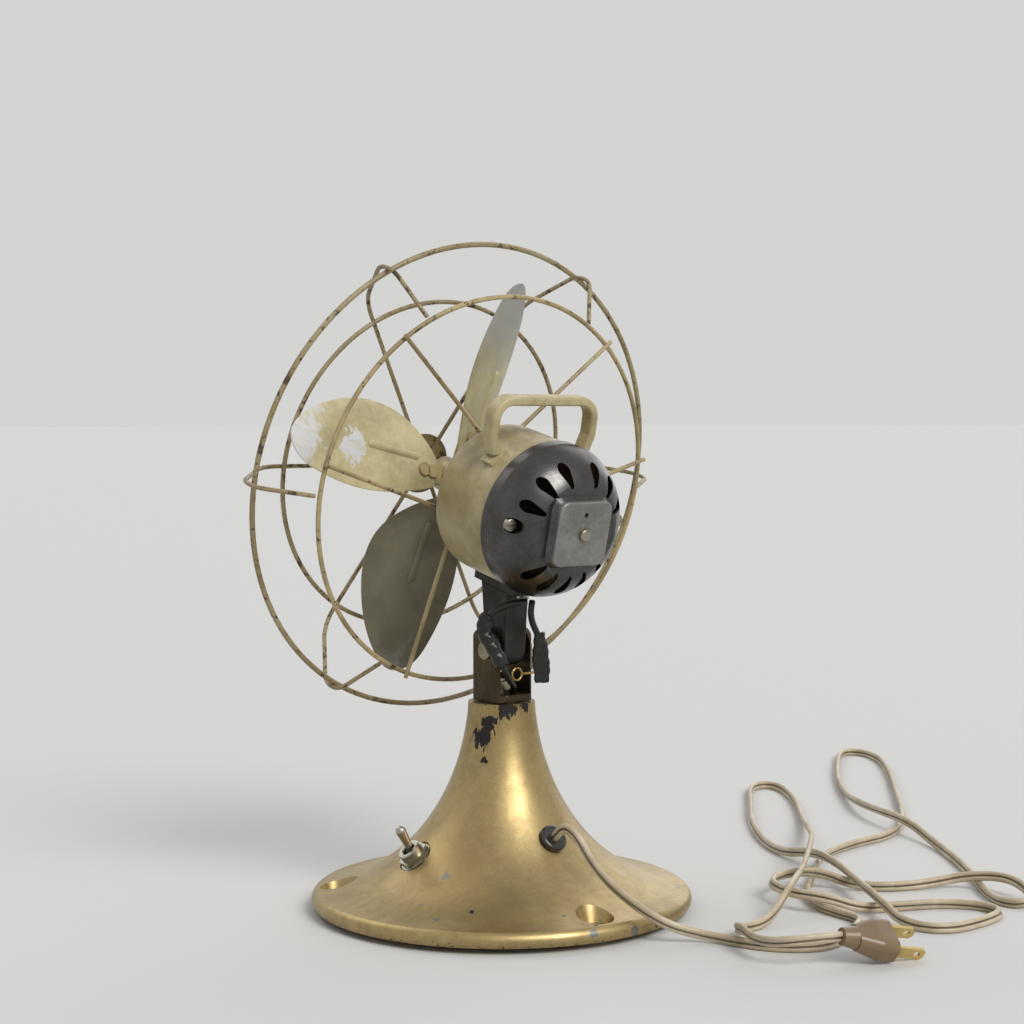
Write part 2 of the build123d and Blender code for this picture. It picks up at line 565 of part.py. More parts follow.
def make_plug():
    """Two-blade plug at the cord's end: rubber body and brass blades with holes."""
    heading, droop = radians(PLUG_HEADING), radians(PLUG_DROOP)
    axis = (cos(heading) * cos(droop), sin(heading) * cos(droop), -sin(droop))
    level = (sin(heading), -cos(heading), 0)
    flat = Plane(origin=CORD_POINTS[-1], x_dir=level, z_dir=axis)
    place = flat.location * Rot(0, 0, -PLUG_ROLL)
    neck = Pos(0, 0, PLUG_NECK_LENGTH / 2) * Cone(PLUG_NECK_RADIUS, PLUG_NECK_RADIUS * 1.35,
                                                  PLUG_NECK_LENGTH)
    back = Pos(0, 0, PLUG_NECK_LENGTH) * RectangleRounded(PLUG_DEPTH * 0.8, PLUG_WIDTH * 0.62,
                                                          PLUG_CORNER)
    face = Pos(0, 0, PLUG_NECK_LENGTH + PLUG_LENGTH * 0.55) * RectangleRounded(
        PLUG_DEPTH, PLUG_WIDTH, PLUG_CORNER)
    body = loft([back, face])
    body += Pos(0, 0, PLUG_NECK_LENGTH + PLUG_LENGTH * 0.55) * extrude(
        RectangleRounded(PLUG_DEPTH, PLUG_WIDTH, PLUG_CORNER), PLUG_LENGTH * 0.45)
    body += neck
    front = PLUG_NECK_LENGTH + PLUG_LENGTH
    blades = []
    for side in (-1, 1):
        blade = Box(PLUG_BLADE_WIDTH, PLUG_BLADE_THICKNESS, PLUG_BLADE_LENGTH + 6)
        blade = chamfer(blade.edges().filter_by(Axis.Y).group_by(Axis.Z)[-1], 1.6)
        hole = Pos(0, 0, PLUG_BLADE_LENGTH / 2 - 1.0) * Rot(90, 0, 0) * Cylinder(PLUG_BLADE_HOLE, 4)
        blades.append(Pos(0, side * PLUG_BLADE_SPACING / 2, front + PLUG_BLADE_LENGTH / 2 - 3)
                      * (blade - hole))
    for blade in blades:
        body -= blade
    return place * body, place * group(*blades)


# ---------------------------------------------------------------- yoke
def clip_hook_x():
    """Middle of the ear's thickness, where the clip's end is hooked in."""
    return -YOKE_WIDTH / 2 + YOKE_EAR / 2


def make_yoke():
    """U bracket that swivels on the neck and carries the tilt pin."""
    depth = YOKE_FRONT + YOKE_BACK
    middle = (YOKE_BACK - YOKE_FRONT) / 2
    ear_top = PIVOT_HEIGHT + depth / 2
    blank = Pos(0, middle, YOKE_BASE) * extrude(RectangleRounded(YOKE_WIDTH, depth, YOKE_CORNER),
                                                ear_top - YOKE_BASE)
    inner = YOKE_WIDTH - 2 * YOKE_EAR
    slot_height = ear_top - YOKE_TOP
    blank -= Pos(0, middle + YOKE_EAR, YOKE_TOP + slot_height / 2 + 0.01) * Box(
        inner, depth, slot_height + 0.02)
    web_top = YOKE_TOP + YOKE_WEB_HEIGHT
    blank -= Pos(0, -YOKE_FRONT, (web_top + ear_top) / 2 + 1) * Box(
        inner, 4 * YOKE_EAR, ear_top - web_top + 2)
    rounding = Pos(0, PIVOT_Y, PIVOT_HEIGHT) * Rot(0, 90, 0)
    keep_low = Pos(0, middle, (YOKE_BASE + PIVOT_HEIGHT) / 2) * Box(
        YOKE_WIDTH + 2, depth + 2, PIVOT_HEIGHT - YOKE_BASE)
    crown = Pos(0, middle, PIVOT_HEIGHT) * Rot(0, 90, 0) * Cylinder(depth / 2, YOKE_WIDTH + 2)
    bracket = blank & (keep_low + crown)
    bracket -= rounding * Cylinder(PIN_RADIUS + SEAT, YOKE_WIDTH + 2)
    bracket -= disc(SWIVEL_RADIUS + SEAT, YOKE_BASE - 1, YOKE_TOP + 1)
    bracket -= Pos(clip_hook_x(), YOKE_BACK, CLIP_HEIGHT) * Rot(90, 0, 0) * Cylinder(
        PIN_CLIP_WIRE + SEAT, 2 * PIN_CLIP_HOOK)
    bracket -= Pos(0, LEAD_HOLE_OFFSET + 1.0, 0) * disc(LEAD_HOLE_RADIUS, YOKE_BASE - 1,
                                                        YOKE_TOP + 1)
    return bracket


def make_swivel():
    """Square-headed bolt, its washers and the nut under the neck's floor."""
    washers = []
    foot = YOKE_TOP + SEAT
    for index in range(SWIVEL_WASHERS):
        low = foot + index * (SWIVEL_WASHER_THICKNESS + SEAT)
        trim = Pos(0, LEAD_HOLE_OFFSET + 1.0, low) * Box(20, 2 * (LEAD_HOLE_RADIUS + 1.0), 10)
        washers.append(ring(SWIVEL_WASHER_RADIUS, SWIVEL_RADIUS + SEAT, low,
                            low + SWIVEL_WASHER_THICKNESS) - trim)
    head_foot = foot + SWIVEL_WASHERS * (SWIVEL_WASHER_THICKNESS + SEAT)
    nut_top = NECK_HEIGHT - NECK_FLOOR - SEAT
    shank_foot = nut_top - SWIVEL_NUT_HEIGHT - 2
    head = Pos(0, 0, head_foot + SWIVEL_HEAD_HEIGHT / 2) * Box(
        SWIVEL_HEAD_SIZE, SWIVEL_HEAD_SIZE, SWIVEL_HEAD_HEIGHT)
    head = chamfer(head.edges().group_by(Axis.Z)[-1], 0.6)
    bolt = head + disc(SWIVEL_RADIUS, shank_foot, head_foot)
    nut = prism_nut(SWIVEL_NUT_FLATS, SWIVEL_RADIUS + SEAT, nut_top - SWIVEL_NUT_HEIGHT, nut_top)
    return bolt, group(*washers), nut


def make_tilt_pin():
    """Cross pin through the ears, with a head at each end, and the wire clip beside it."""
    half = YOKE_WIDTH / 2
    pin = disc(PIN_RADIUS, -half - 0.2, half + 0.2)
    for side in (-1, 1):
        low = side * (half + SEAT)
        pin += disc(PIN_HEAD_RADIUS, low, low + side * PIN_HEAD_THICKNESS)
    pin = Pos(0, PIVOT_Y, PIVOT_HEIGHT) * Rot(0, 90, 0) * pin

    ring_y = YOKE_BACK + PIN_CLIP_WIRE + LOOSE_FIT
    loop = Rot(90, 0, 0) * Torus(PIN_CLIP_RING, PIN_CLIP_WIRE)
    leg_start = -PIN_CLIP_RING + 0.2
    leg_length = leg_start - clip_hook_x()
    leg = Pos(leg_start - leg_length / 2, 0, 0) * Rot(0, 90, 0) * Cylinder(PIN_CLIP_WIRE, leg_length)
    elbow = Pos(clip_hook_x(), 0, 0) * Sphere(PIN_CLIP_WIRE)
    hook = Pos(clip_hook_x(), -PIN_CLIP_HOOK / 2, 0) * Rot(90, 0, 0) * Cylinder(
        PIN_CLIP_WIRE, PIN_CLIP_HOOK)
    clip = Pos(0, ring_y, CLIP_HEIGHT) * (loop + leg + elbow + hook)
    return pin, clip


# ---------------------------------------------------------------- motor
def make_front_housing():
    """Cream drum with a rounded front, a shaft boss and screw bosses for the guard."""
    low, high = MOTOR_FRONT - FRONT_EDGE_ROUND, MOTOR_FRONT
    shoulder = MOTOR_RADIUS - FRONT_EDGE_ROUND * 0.62
    bend = (MOTOR_RADIUS - FRONT_EDGE_ROUND * 0.17, high - FRONT_EDGE_ROUND * 0.34)
    outside = Polyline((0, MOTOR_REAR), (MOTOR_RADIUS, MOTOR_REAR), (MOTOR_RADIUS, low)) \
        + ThreePointArc((MOTOR_RADIUS, low), bend, (shoulder, high)) \
        + Polyline((shoulder, high), (0, high), (0, MOTOR_REAR))
    drum = revolve_profile(outside)
    drum -= disc(MOTOR_INNER, MOTOR_REAR - 1, MOTOR_FRONT - FRONT_EDGE_ROUND)
    drum -= disc(shoulder - MOTOR_WALL, MOTOR_REAR - 1, MOTOR_FRONT - MOTOR_WALL)
    boss_back = MOTOR_FRONT + FRONT_BEARING_OUTSTAND - FRONT_BEARING_LENGTH
    drum += disc(BEARING_RADIUS + MOTOR_WALL, boss_back, MOTOR_FRONT)
    drum -= disc(BEARING_RADIUS, boss_back - 1, MOTOR_FRONT + 1)
    for index in range(SUPPORTS):
        at = Pos(*polar(index * 360 / SUPPORTS, SUPPORT_APEX_RADIUS - 2 * GUARD_WIRE))
        drum += at * disc(2 * SUPPORT_SCREW_RADIUS, MOTOR_FRONT - 2 * MOTOR_WALL, MOTOR_FRONT)
        drum -= at * disc(SUPPORT_SCREW_RADIUS + SEAT, MOTOR_FRONT - 2 * MOTOR_WALL - 1,
                          MOTOR_FRONT + 1)
    for along in saddle_screw_places():
        drum -= Pos(0, -MOTOR_RADIUS, along) * Rot(90, 0, 0) * Cylinder(SADDLE_SCREW_RADIUS + SEAT, 12)
    return drum


def dome_edges(radius_cut, back):
    """Outside (or inside) of the dome as a straight lip and one arc down to the flat back."""
    side = COVER_RADIUS - radius_cut
    knee = MOTOR_REAR - COVER_STRAIGHT
    bulge = (COVER_BULGE_RADIUS - radius_cut * 0.7, MOTOR_REAR - COVER_BULGE_DEPTH + radius_cut * 0.7)
    return side, ThreePointArc((side, knee), bulge, (COVER_FLAT_RADIUS, back))


def make_rear_cover():
    """Bare metal dome with teardrop vents, seats for two side screws and a bearing boss."""
    lip = MOTOR_REAR + COVER_LIP
    side, arc = dome_edges(0.0, COVER_BACK)
    knee = MOTOR_REAR - COVER_STRAIGHT
    outside = Polyline((0, lip), (side, lip), (side, knee)) + arc \
        + Polyline((COVER_FLAT_RADIUS, COVER_BACK), (0, COVER_BACK), (0, lip))
    inner_side, inner_arc = dome_edges(COVER_WALL, COVER_BACK + COVER_WALL)
    floor = COVER_BACK + COVER_WALL
    inside = Polyline((0, lip + 1), (MOTOR_RADIUS + SEAT, lip + 1),
                      (MOTOR_RADIUS + SEAT, MOTOR_REAR - SEAT), (inner_side, MOTOR_REAR - SEAT),
                      (inner_side, knee)) + inner_arc \
        + Polyline((COVER_FLAT_RADIUS, floor), (0, floor), (0, lip + 1))
    dome = revolve_profile(outside) - revolve_profile(inside)

    drop = make_hull([Pos(0, VENT_END_RADIUS) * Edge.make_circle(VENT_END_WIDTH),
                      Pos(0, VENT_TIP_RADIUS) * Edge.make_circle(VENT_TIP_WIDTH)])
    vent = Pos(0, 0, COVER_BACK) * extrude(drop, COVER_DEPTH)
    for angle in UPPER_VENT_ANGLES + LOWER_VENT_ANGLES:
        dome -= turned(angle) * vent
    seat = cover_screw_seat()
    for side_sign in (-1, 1):
        at = Pos(*polar(side_sign * COVER_SCREW_ANGLE, COVER_SCREW_CIRCLE))
        land = at * disc(COVER_SCREW_HEAD + COVER_SCREW_LAND, seat, seat + COVER_SCREW_LAND_DEPTH)
        dome += land & revolve_profile(outside)
        dome -= at * disc(COVER_SCREW_HEAD + COVER_SCREW_ROOM, COVER_BACK, seat)
        dome -= at * disc(COVER_SCREW_RADIUS + SEAT, COVER_BACK, MOTOR_REAR + COVER_LIP)
    dome += ring(BEARING_RADIUS + MOTOR_WALL, BEARING_RADIUS, COVER_BACK, COVER_BACK
                 + REAR_BEARING_LENGTH)
    side_length = REAR_PLATE_SIZE + 2 * PLATFORM_MARGIN
    corner = REAR_PLATE_CORNER + PLATFORM_MARGIN
    platform = extrude(RectangleRounded(side_length, side_length, corner), PLATFORM_RISE + COVER_WALL / 2,
                       taper=PLATFORM_TAPER)
    dome += Pos(0, 0, COVER_BACK + COVER_WALL / 2) * Rot(180, 0, 0) * platform
    dome -= disc(REAR_SCREW_RADIUS / 2, PLATE_SEAT - 1, COVER_BACK + COVER_WALL + 1)
    return dome


def cover_screw_seat():
    """Height along the axis of the flat that a cover screw's head sits on."""
    return MOTOR_REAR - COVER_SCREW_SEAT


def make_cover_screws():
    """Two long screws that pull the dome on to the laminations."""
    seat = cover_screw_seat()
    screw = disc(COVER_SCREW_HEAD, seat - SEAT, seat - COVER_SCREW_HEAD_HEIGHT)
    screw = fillet(screw.edges().group_by(Axis.Z)[0], COVER_SCREW_HEAD_ROUND)
    screw -= Pos(0, 0, seat - COVER_SCREW_HEAD_HEIGHT) * Box(*COVER_SCREW_SLOT)
    screw += disc(COVER_SCREW_RADIUS, seat - SEAT, STATOR_REAR + COVER_SCREW_GRIP)
    return group(*[Pos(*polar(side * COVER_SCREW_ANGLE, COVER_SCREW_CIRCLE)) * screw
                   for side in (-1, 1)])


def make_rear_plate():
    """Raised square plate on the dome, with a small oil hole, and its middle screw."""
    back = PLATE_SEAT - SEAT
    plate = Pos(0, 0, back - REAR_PLATE_THICKNESS) * extrude(
        RectangleRounded(REAR_PLATE_SIZE, REAR_PLATE_SIZE, REAR_PLATE_CORNER), REAR_PLATE_THICKNESS)
    plate = fillet(plate.edges().group_by(Axis.Z)[0], REAR_PLATE_ROUND)
    plate -= Pos(0, REAR_PLATE_HOLE_Y) * disc(REAR_PLATE_HOLE, back + 1, back - REAR_PLATE_THICKNESS - 1)
    plate -= disc(REAR_SCREW_RADIUS / 2 + SEAT, back + 1, back - REAR_PLATE_THICKNESS - 1)
    outer = back - REAR_PLATE_THICKNESS
    screw = disc(REAR_SCREW_RADIUS, outer - SEAT, outer - REAR_SCREW_HEAD_HEIGHT)
    screw = fillet(screw.edges().group_by(Axis.Z)[0], REAR_SCREW_ROUND)
    screw += disc(REAR_SCREW_RADIUS / 2 - SEAT, outer - SEAT, COVER_BACK + COVER_WALL)
    return plate, screw


def make_stator():
    """Lamination ring with two poles and the coils wound on each end."""
    core = ring(STATOR_RADIUS, ROTOR_RADIUS + AIR_GAP, STATOR_REAR, STATOR_FRONT)
    for side in (-1, 1):
        core -= Pos(*polar(side * COVER_SCREW_ANGLE, COVER_SCREW_CIRCLE)) * disc(
            COVER_SCREW_RADIUS + SEAT, STATOR_REAR - 1, STATOR_REAR + COVER_SCREW_GRIP + 1)
    coils = []
    for low in (STATOR_FRONT + SEAT, STATOR_REAR - SEAT - COIL_THICKNESS * 0.75):
        thickness = COIL_THICKNESS * 0.75
        band = ring(COIL_OUTER_RADIUS - 2.5, COIL_INNER_RADIUS, low, low + thickness)
        band -= Pos(0, 0, low) * Box(2 * COIL_OUTER_RADIUS + 2,
                                     2 * COIL_INNER_RADIUS * sin(radians(COIL_GAP_ANGLE)),
                                     4 * thickness)
        coils.append(band)
    return core, group(*coils)


def make_bearings():
    """Plain bushes at the front and the back of the motor."""
    front_high = MOTOR_FRONT + FRONT_BEARING_OUTSTAND
    front = ring(BEARING_RADIUS - SEAT, SHAFT_RADIUS + RUN_FIT, front_high - FRONT_BEARING_LENGTH,
                 front_high)
    rear_low = COVER_BACK + COVER_WALL + SEAT
    rear = ring(BEARING_RADIUS - SEAT, SHAFT_RADIUS + RUN_FIT, rear_low,
                COVER_BACK + REAR_BEARING_LENGTH)
    return group(front, rear)


def make_handle():
    """Strip handle bent over the motor, with a pad brazed to the drum at each foot."""
    foot = MOTOR_RADIUS + HANDLE_THICKNESS / 2 + 2 * LOOSE_FIT
    foot_y = foot * cos(radians(HANDLE_FOOT_ANGLE))
    foot_x = foot * sin(radians(HANDLE_FOOT_ANGLE))
    elbow = foot_y + HANDLE_ELBOW_RISE
    lean = 2 * LOOSE_FIT
    points = [(-foot_x, foot_y), (-HANDLE_HALF_SPAN, elbow), (-HANDLE_HALF_SPAN + lean, HANDLE_HEIGHT),
              (HANDLE_HALF_SPAN - lean, HANDLE_HEIGHT), (HANDLE_HALF_SPAN, elbow), (foot_x, foot_y)]
    elbow_radius = HANDLE_ELBOW_RISE / 2
    path = FilletPolyline(*[(x, y, HANDLE_AT) for x, y in points],
                          radius=[elbow_radius, HANDLE_CORNER, HANDLE_CORNER, elbow_radius])
    start = Plane(origin=path @ 0, x_dir=(0, 0, 1), z_dir=path % 0)
    handle = sweep(start * RectangleRounded(HANDLE_WIDTH, HANDLE_THICKNESS, HANDLE_THICKNESS / 3),
                   path=path)
    for side in (-1, 1):
        turn = Pos(0, 0, HANDLE_AT) * turned(side * HANDLE_FOOT_ANGLE)
        handle += turn * Pos(0, MOTOR_RADIUS + SEAT + HANDLE_PAD_THICKNESS / 2, 0) * Box(
            HANDLE_PAD_LENGTH, HANDLE_PAD_THICKNESS, HANDLE_WIDTH)
    return handle - Pos(0, 0, HANDLE_AT) * Cylinder(MOTOR_RADIUS + SEAT, 2 * HANDLE_WIDTH)


def saddle_screw_places():
    """Where the saddle's two screws stand along the motor's axis."""
    return (SADDLE_FRONT - 4.5, SADDLE_REAR + 3.6)


def make_arm():
    """Saddle plate shaped to the drum, the arm below it with the pivot eye, and the screws."""
    middle = (SADDLE_FRONT + SADDLE_REAR) / 2
    length = SADDLE_FRONT - SADDLE_REAR
    blank = 2 * SADDLE_THICKNESS
    saddle = Pos(0, blank / 2 - SADDLE_BOTTOM, middle) * Box(SADDLE_WIDTH, blank, length)
    saddle -= Pos(0, 0, middle) * Cylinder(SADDLE_TOP, 2 * length)
    reach = SADDLE_BOTTOM - MOTOR_INNER
    screws = []
    for along in saddle_screw_places():
        down = Pos(0, -SADDLE_BOTTOM, along) * Rot(90, 0, 0)
        saddle -= down * Cylinder(SADDLE_SCREW_RADIUS + SEAT, 20)
        screw = down * Pos(0, 0, SADDLE_SCREW_HEAD_HEIGHT / 2 + SEAT) * Cylinder(
            SADDLE_SCREW_HEAD, SADDLE_SCREW_HEAD_HEIGHT)
        screws.append(screw + down * disc(SADDLE_SCREW_RADIUS, -reach, 2 * SEAT))

    front = HEAD.from_local_coords(Vector(0, -SADDLE_BOTTOM - SEAT, ARM_TOP_FRONT))
    rear = HEAD.from_local_coords(Vector(0, -SADDLE_BOTTOM - SEAT, ARM_TOP_REAR))
    side_view = make_hull([Edge.make_line((front.Y, front.Z), (rear.Y, rear.Z)),
                           Pos(PIVOT.Y, PIVOT.Z) * Edge.make_circle(ARM_EYE_RADIUS)])
    arm = Plane.YZ * Pos(0, 0, -ARM_WIDTH / 2) * extrude(side_view, ARM_WIDTH)
    arm = fillet(arm.edges().filter_by(GeomType.LINE).filter_by(Axis.X, reverse=True), 1.8)
    arm -= Pos(PIVOT) * Rot(0, 90, 0) * Cylinder(PIN_RADIUS + RUN_FIT, 2 * YOKE_WIDTH)
    for along in saddle_screw_places():
        notch = Pos(0, -SADDLE_BOTTOM - 3.0, along) * Rot(90, 0, 0) * Cylinder(
            SADDLE_SCREW_HEAD + 0.6, 8)
        arm -= HEAD.location * notch
    return HEAD.location * saddle, arm, HEAD.location * group(*screws)


def make_leads():
    """Black wires from the motor down to the yoke, a taped splice and a flag of tape."""
    left = tube_along([PIVOT + Vector(*point) for point in LEAD_LEFT], LEAD_DIAMETER / 2)[0]
    right = tube_along([PIVOT + Vector(*point) for point in LEAD_RIGHT], LEAD_DIAMETER / 2)[0]
    before, top, bend, low, after = [PIVOT + Vector(*point)
                                     for point in LEAD_LEFT[2:7]]
    cover = [top + (before - top) * 0.3, top, bend, low, after]
    sleeve = tube_along(cover, SLEEVE_DIAMETER / 2)[0] - left
    end = PIVOT + Vector(*LEAD_RIGHT[-1])
    sections = [Pos(0, 0, -share * TAPE_LENGTH) * RectangleRounded(*size, size[0] / 3)
                for share, size in ((0, TAPE_TOP), (0.4, TAPE_MIDDLE), (1, TAPE_FOOT))]
    tape = Pos(end.X, end.Y, end.Z + TAPE_LENGTH / 5) * Rot(0, 4, TAPE_TURN) * loft(sections)
    return group(left, right), group(sleeve, tape - right)


# ---------------------------------------------------------------- rotor
def make_rotor():
    """Rotor core, shaft and two collars that keep the shaft from sliding."""
    mid = (STATOR_FRONT + STATOR_REAR) / 2
    core = ring(ROTOR_RADIUS, SHAFT_RADIUS + SEAT, mid - ROTOR_LENGTH / 2, mid + ROTOR_LENGTH / 2)
    shaft_rear = COVER_BACK + COVER_WALL + COLLAR_GAP
    shaft = disc(SHAFT_RADIUS, shaft_rear, BLADE_CENTRE + HUB_FRONT + SHAFT_OUTSTAND)
    front_face = MOTOR_FRONT + FRONT_BEARING_OUTSTAND - FRONT_BEARING_LENGTH - COLLAR_GAP
    rear_face = COVER_BACK + REAR_BEARING_LENGTH + COLLAR_GAP
    collars = [ring(COLLAR_RADIUS, SHAFT_RADIUS + SEAT, front_face - COLLAR_LENGTH, front_face),
               ring(COLLAR_RADIUS, SHAFT_RADIUS + SEAT, rear_face, rear_face + COLLAR_LENGTH)]
    return core, shaft, group(*collars)


def blade_place(index):
    """Frame of one blade: x along the chord, y outwards along the blade, z off its face."""
    return turned(BLADE_FIRST_ANGLE + index * 360 / BLADE_COUNT) * Pos(0, 0, BLADE_CENTRE) \
        * Rot(0, BLADE_PITCH, 0)


def camber_shell(thickness, offset=0.0):
    """Part of a large tube along the blade, hollow towards the front."""
    outer = BLADE_CAMBER_RADIUS + thickness / 2 + offset
    length = 3 * BLADE_TIP_RADIUS
    tube = Cylinder(outer, length) - Cylinder(outer - thickness, 2 * length)
    return Pos(0, 0, BLADE_CAMBER_RADIUS) * Rot(90, 0, 0) * tube


def make_blades():
    """Four pressed blades: an outline cut from a curved sheet, with a half-round rib."""
    edge = Spline(*BLADE_OUTLINE)
    root = Line(BLADE_OUTLINE[-1], BLADE_OUTLINE[0])
    outline = make_face(edge + root)
    cutter = Pos(0, 0, -20) * extrude(outline, 40)
    sheet = cutter & camber_shell(BLADE_THICKNESS)
    rib_bottom = camber_rise(RIB_OFFSET)
    rib = Pos(RIB_OFFSET, (RIB_START + RIB_END) / 2, rib_bottom - 0.2) * Rot(90, 0, 0) * Cylinder(
        RIB_RADIUS, RIB_END - RIB_START)
    rib += Pos(RIB_OFFSET, RIB_END, rib_bottom - 0.2) * Sphere(RIB_RADIUS)
    rib += Pos(RIB_OFFSET, RIB_START, rib_bottom - 0.2) * Sphere(RIB_RADIUS)
    sheet = sheet + rib
    rivets = []
    for radius in BLADE_RIVET_RADII:
        sheet -= Pos(0, radius, 0) * Cylinder(BLADE_RIVET_RADIUS + SEAT, 10)
        low = -BLADE_THICKNESS / 2 - SEAT
        high = arm_height() + SEAT + SPIDER_ARM_THICKNESS
        pin = disc(BLADE_RIVET_RADIUS, low - 0.1, high + 0.1)
        pin += disc(BLADE_RIVET_RADIUS * 1.7, low - 0.3, low - 0.3 - BLADE_RIVET_HEAD)
        pin += disc(BLADE_RIVET_RADIUS, low - 0.4, low)
        pin += disc(BLADE_RIVET_RADIUS * 1.7, high, high + BLADE_RIVET_HEAD)
        rivets.append(Pos(0, radius, 0) * pin)
    blades = [blade_place(index) * sheet for index in range(BLADE_COUNT)]
    heads = [blade_place(index) * rivet for index in range(BLADE_COUNT) for rivet in rivets]
    return blades, group(*heads)


def camber_rise(x):
    """How far the curved sheet rises above its middle at a chord position."""
    return BLADE_CAMBER_RADIUS - sqrt(BLADE_CAMBER_RADIUS ** 2 - x ** 2)


def arm_height():
    """Underside of a spider arm, which rests on the curved sheet along both its edges."""
    return camber_rise(SPIDER_ARM_WIDTH / 2) + BLADE_THICKNESS / 2 + SEAT


def make_hub():
    """Turned boss with four pitched spider arms, and the set screw that holds it."""
    boss = disc(HUB_RADIUS, BLADE_CENTRE + HUB_REAR, BLADE_CENTRE + HUB_FRONT)
    boss = fillet(boss.edges().group_by(Axis.Z)[-1], 2.0)
    arm_low = arm_height()
    for index in range(BLADE_COUNT):
        arm = Pos(0, SPIDER_ARM_REACH / 2 + 2, arm_low + SPIDER_ARM_THICKNESS / 2) * Box(
            SPIDER_ARM_WIDTH, SPIDER_ARM_REACH - 4, SPIDER_ARM_THICKNESS)
        for radius in BLADE_RIVET_RADII:
            arm -= Pos(0, radius, 0) * Cylinder(BLADE_RIVET_RADIUS + SEAT, 16)
        boss += blade_place(index) * arm
    boss -= disc(SHAFT_RADIUS + SEAT, BLADE_CENTRE + HUB_REAR - 1, BLADE_CENTRE + HUB_FRONT + 5)
    drill = Pos(0, 0, BLADE_CENTRE + HUB_REAR + 4.0) * turned(BLADE_FIRST_ANGLE + 45) * Rot(-90, 0, 0)
    boss -= drill * disc(SET_SCREW_RADIUS + SEAT, 0, HUB_RADIUS + 2)
    screw = drill * disc(SET_SCREW_RADIUS, SHAFT_RADIUS + SEAT, HUB_RADIUS + 0.6)
    return boss, screw


# ---------------------------------------------------------------- guard
def make_rings():
    """Outer, front and rear rings of round wire."""
    outer = Torus(GUARD_RADIUS, OUTER_WIRE)
    front = Pos(0, 0, FRONT_RING_AT) * Torus(FRONT_RING_RADIUS, RING_WIRE)
    rear = Pos(0, 0, REAR_RING_AT) * Torus(REAR_RING_RADIUS, RING_WIRE)
    return outer, front, rear


def guard_wire():
    """One front wire at the top: from the disc over the front ring, round the outer ring, back."""
    over = FRONT_RING_AT + RING_WIRE + GUARD_WIRE - WELD
    outside = GUARD_RADIUS + OUTER_WIRE + GUARD_WIRE - WELD
    end_radius = REAR_RING_RADIUS + (RING_WIRE + GUARD_WIRE - WELD) * 0.8
    end_height = REAR_RING_AT + (RING_WIRE + GUARD_WIRE - WELD) * 0.6
    points = [(0, GUARD_WIRE_START, over), (0, FRONT_RING_RADIUS + 12, over),
              (0, outside, GUARD_LOOP_FRONT), (0, outside, GUARD_LOOP_REAR),
              (0, end_radius, end_height)]
    corners = [Vector(*point) for point in points]
    radii = bend_radii(corners, largest=22.0)
    return tube_along(points, GUARD_WIRE, radii)[0]


def guard_support():
    """One V-shaped rear support: both ends on the rear ring, the bend under a screw."""
    at = REAR_RING_AT - RING_WIRE - GUARD_WIRE + WELD
    end_radius = REAR_RING_RADIUS + SUPPORT_TAIL
    left = polar(-SUPPORT_SPREAD, end_radius, at)
    right = polar(SUPPORT_SPREAD, end_radius, at)
    half = GUARD_WIRE + SUPPORT_SCREW_RADIUS + 0.5
    bottom = SUPPORT_APEX_RADIUS - 2 * GUARD_WIRE - half
    points = [left, (-half, bottom, at), (half, bottom, at), right]
    return tube_along(points, GUARD_WIRE, [half * 0.8, half * 0.8])[0]


def make_guard_details():
    """Front disc with its backing washer and rivet, and the screws that hold the supports."""
    over = FRONT_RING_AT + RING_WIRE + 2 * GUARD_WIRE
    disc_low = over - WELD
    plate = disc(DISC_RADIUS, disc_low, disc_low + DISC_THICKNESS)
    plate = fillet(plate.edges().group_by(Axis.Z)[-1], 1.2)
    back_high = FRONT_RING_AT + RING_WIRE
    backing = disc(DISC_RADIUS * 0.8, back_high - DISC_THICKNESS, back_high)
    rivet = disc(DISC_RIVET_RADIUS, back_high - DISC_THICKNESS - SEAT - 1.2,
                 back_high - DISC_THICKNESS - SEAT)
    rivet += disc(DISC_RIVET_RADIUS * 0.5, back_high - DISC_THICKNESS - SEAT - 0.2,
                  disc_low + DISC_THICKNESS * 0.6)
    hole = disc(DISC_RIVET_RADIUS * 0.5 + SEAT, 0, disc_low + DISC_THICKNESS * 0.6 + SEAT)
    screws = []
    wire_top = REAR_RING_AT - RING_WIRE + WELD
    for index in range(SUPPORTS):
        at = Pos(*polar(index * 360 / SUPPORTS, SUPPORT_APEX_RADIUS - 2 * GUARD_WIRE))
        screw = disc(SUPPORT_SCREW_HEAD, wire_top + SEAT, wire_top + SUPPORT_SCREW_HEIGHT)
        screw = fillet(screw.edges().group_by(Axis.Z)[-1], 1.0)
        screws.append(at * (screw + disc(SUPPORT_SCREW_RADIUS, wire_top + SEAT,
                                         MOTOR_FRONT - MOTOR_WALL)))
    return plate - hole, group(backing - hole, rivet), group(*screws)


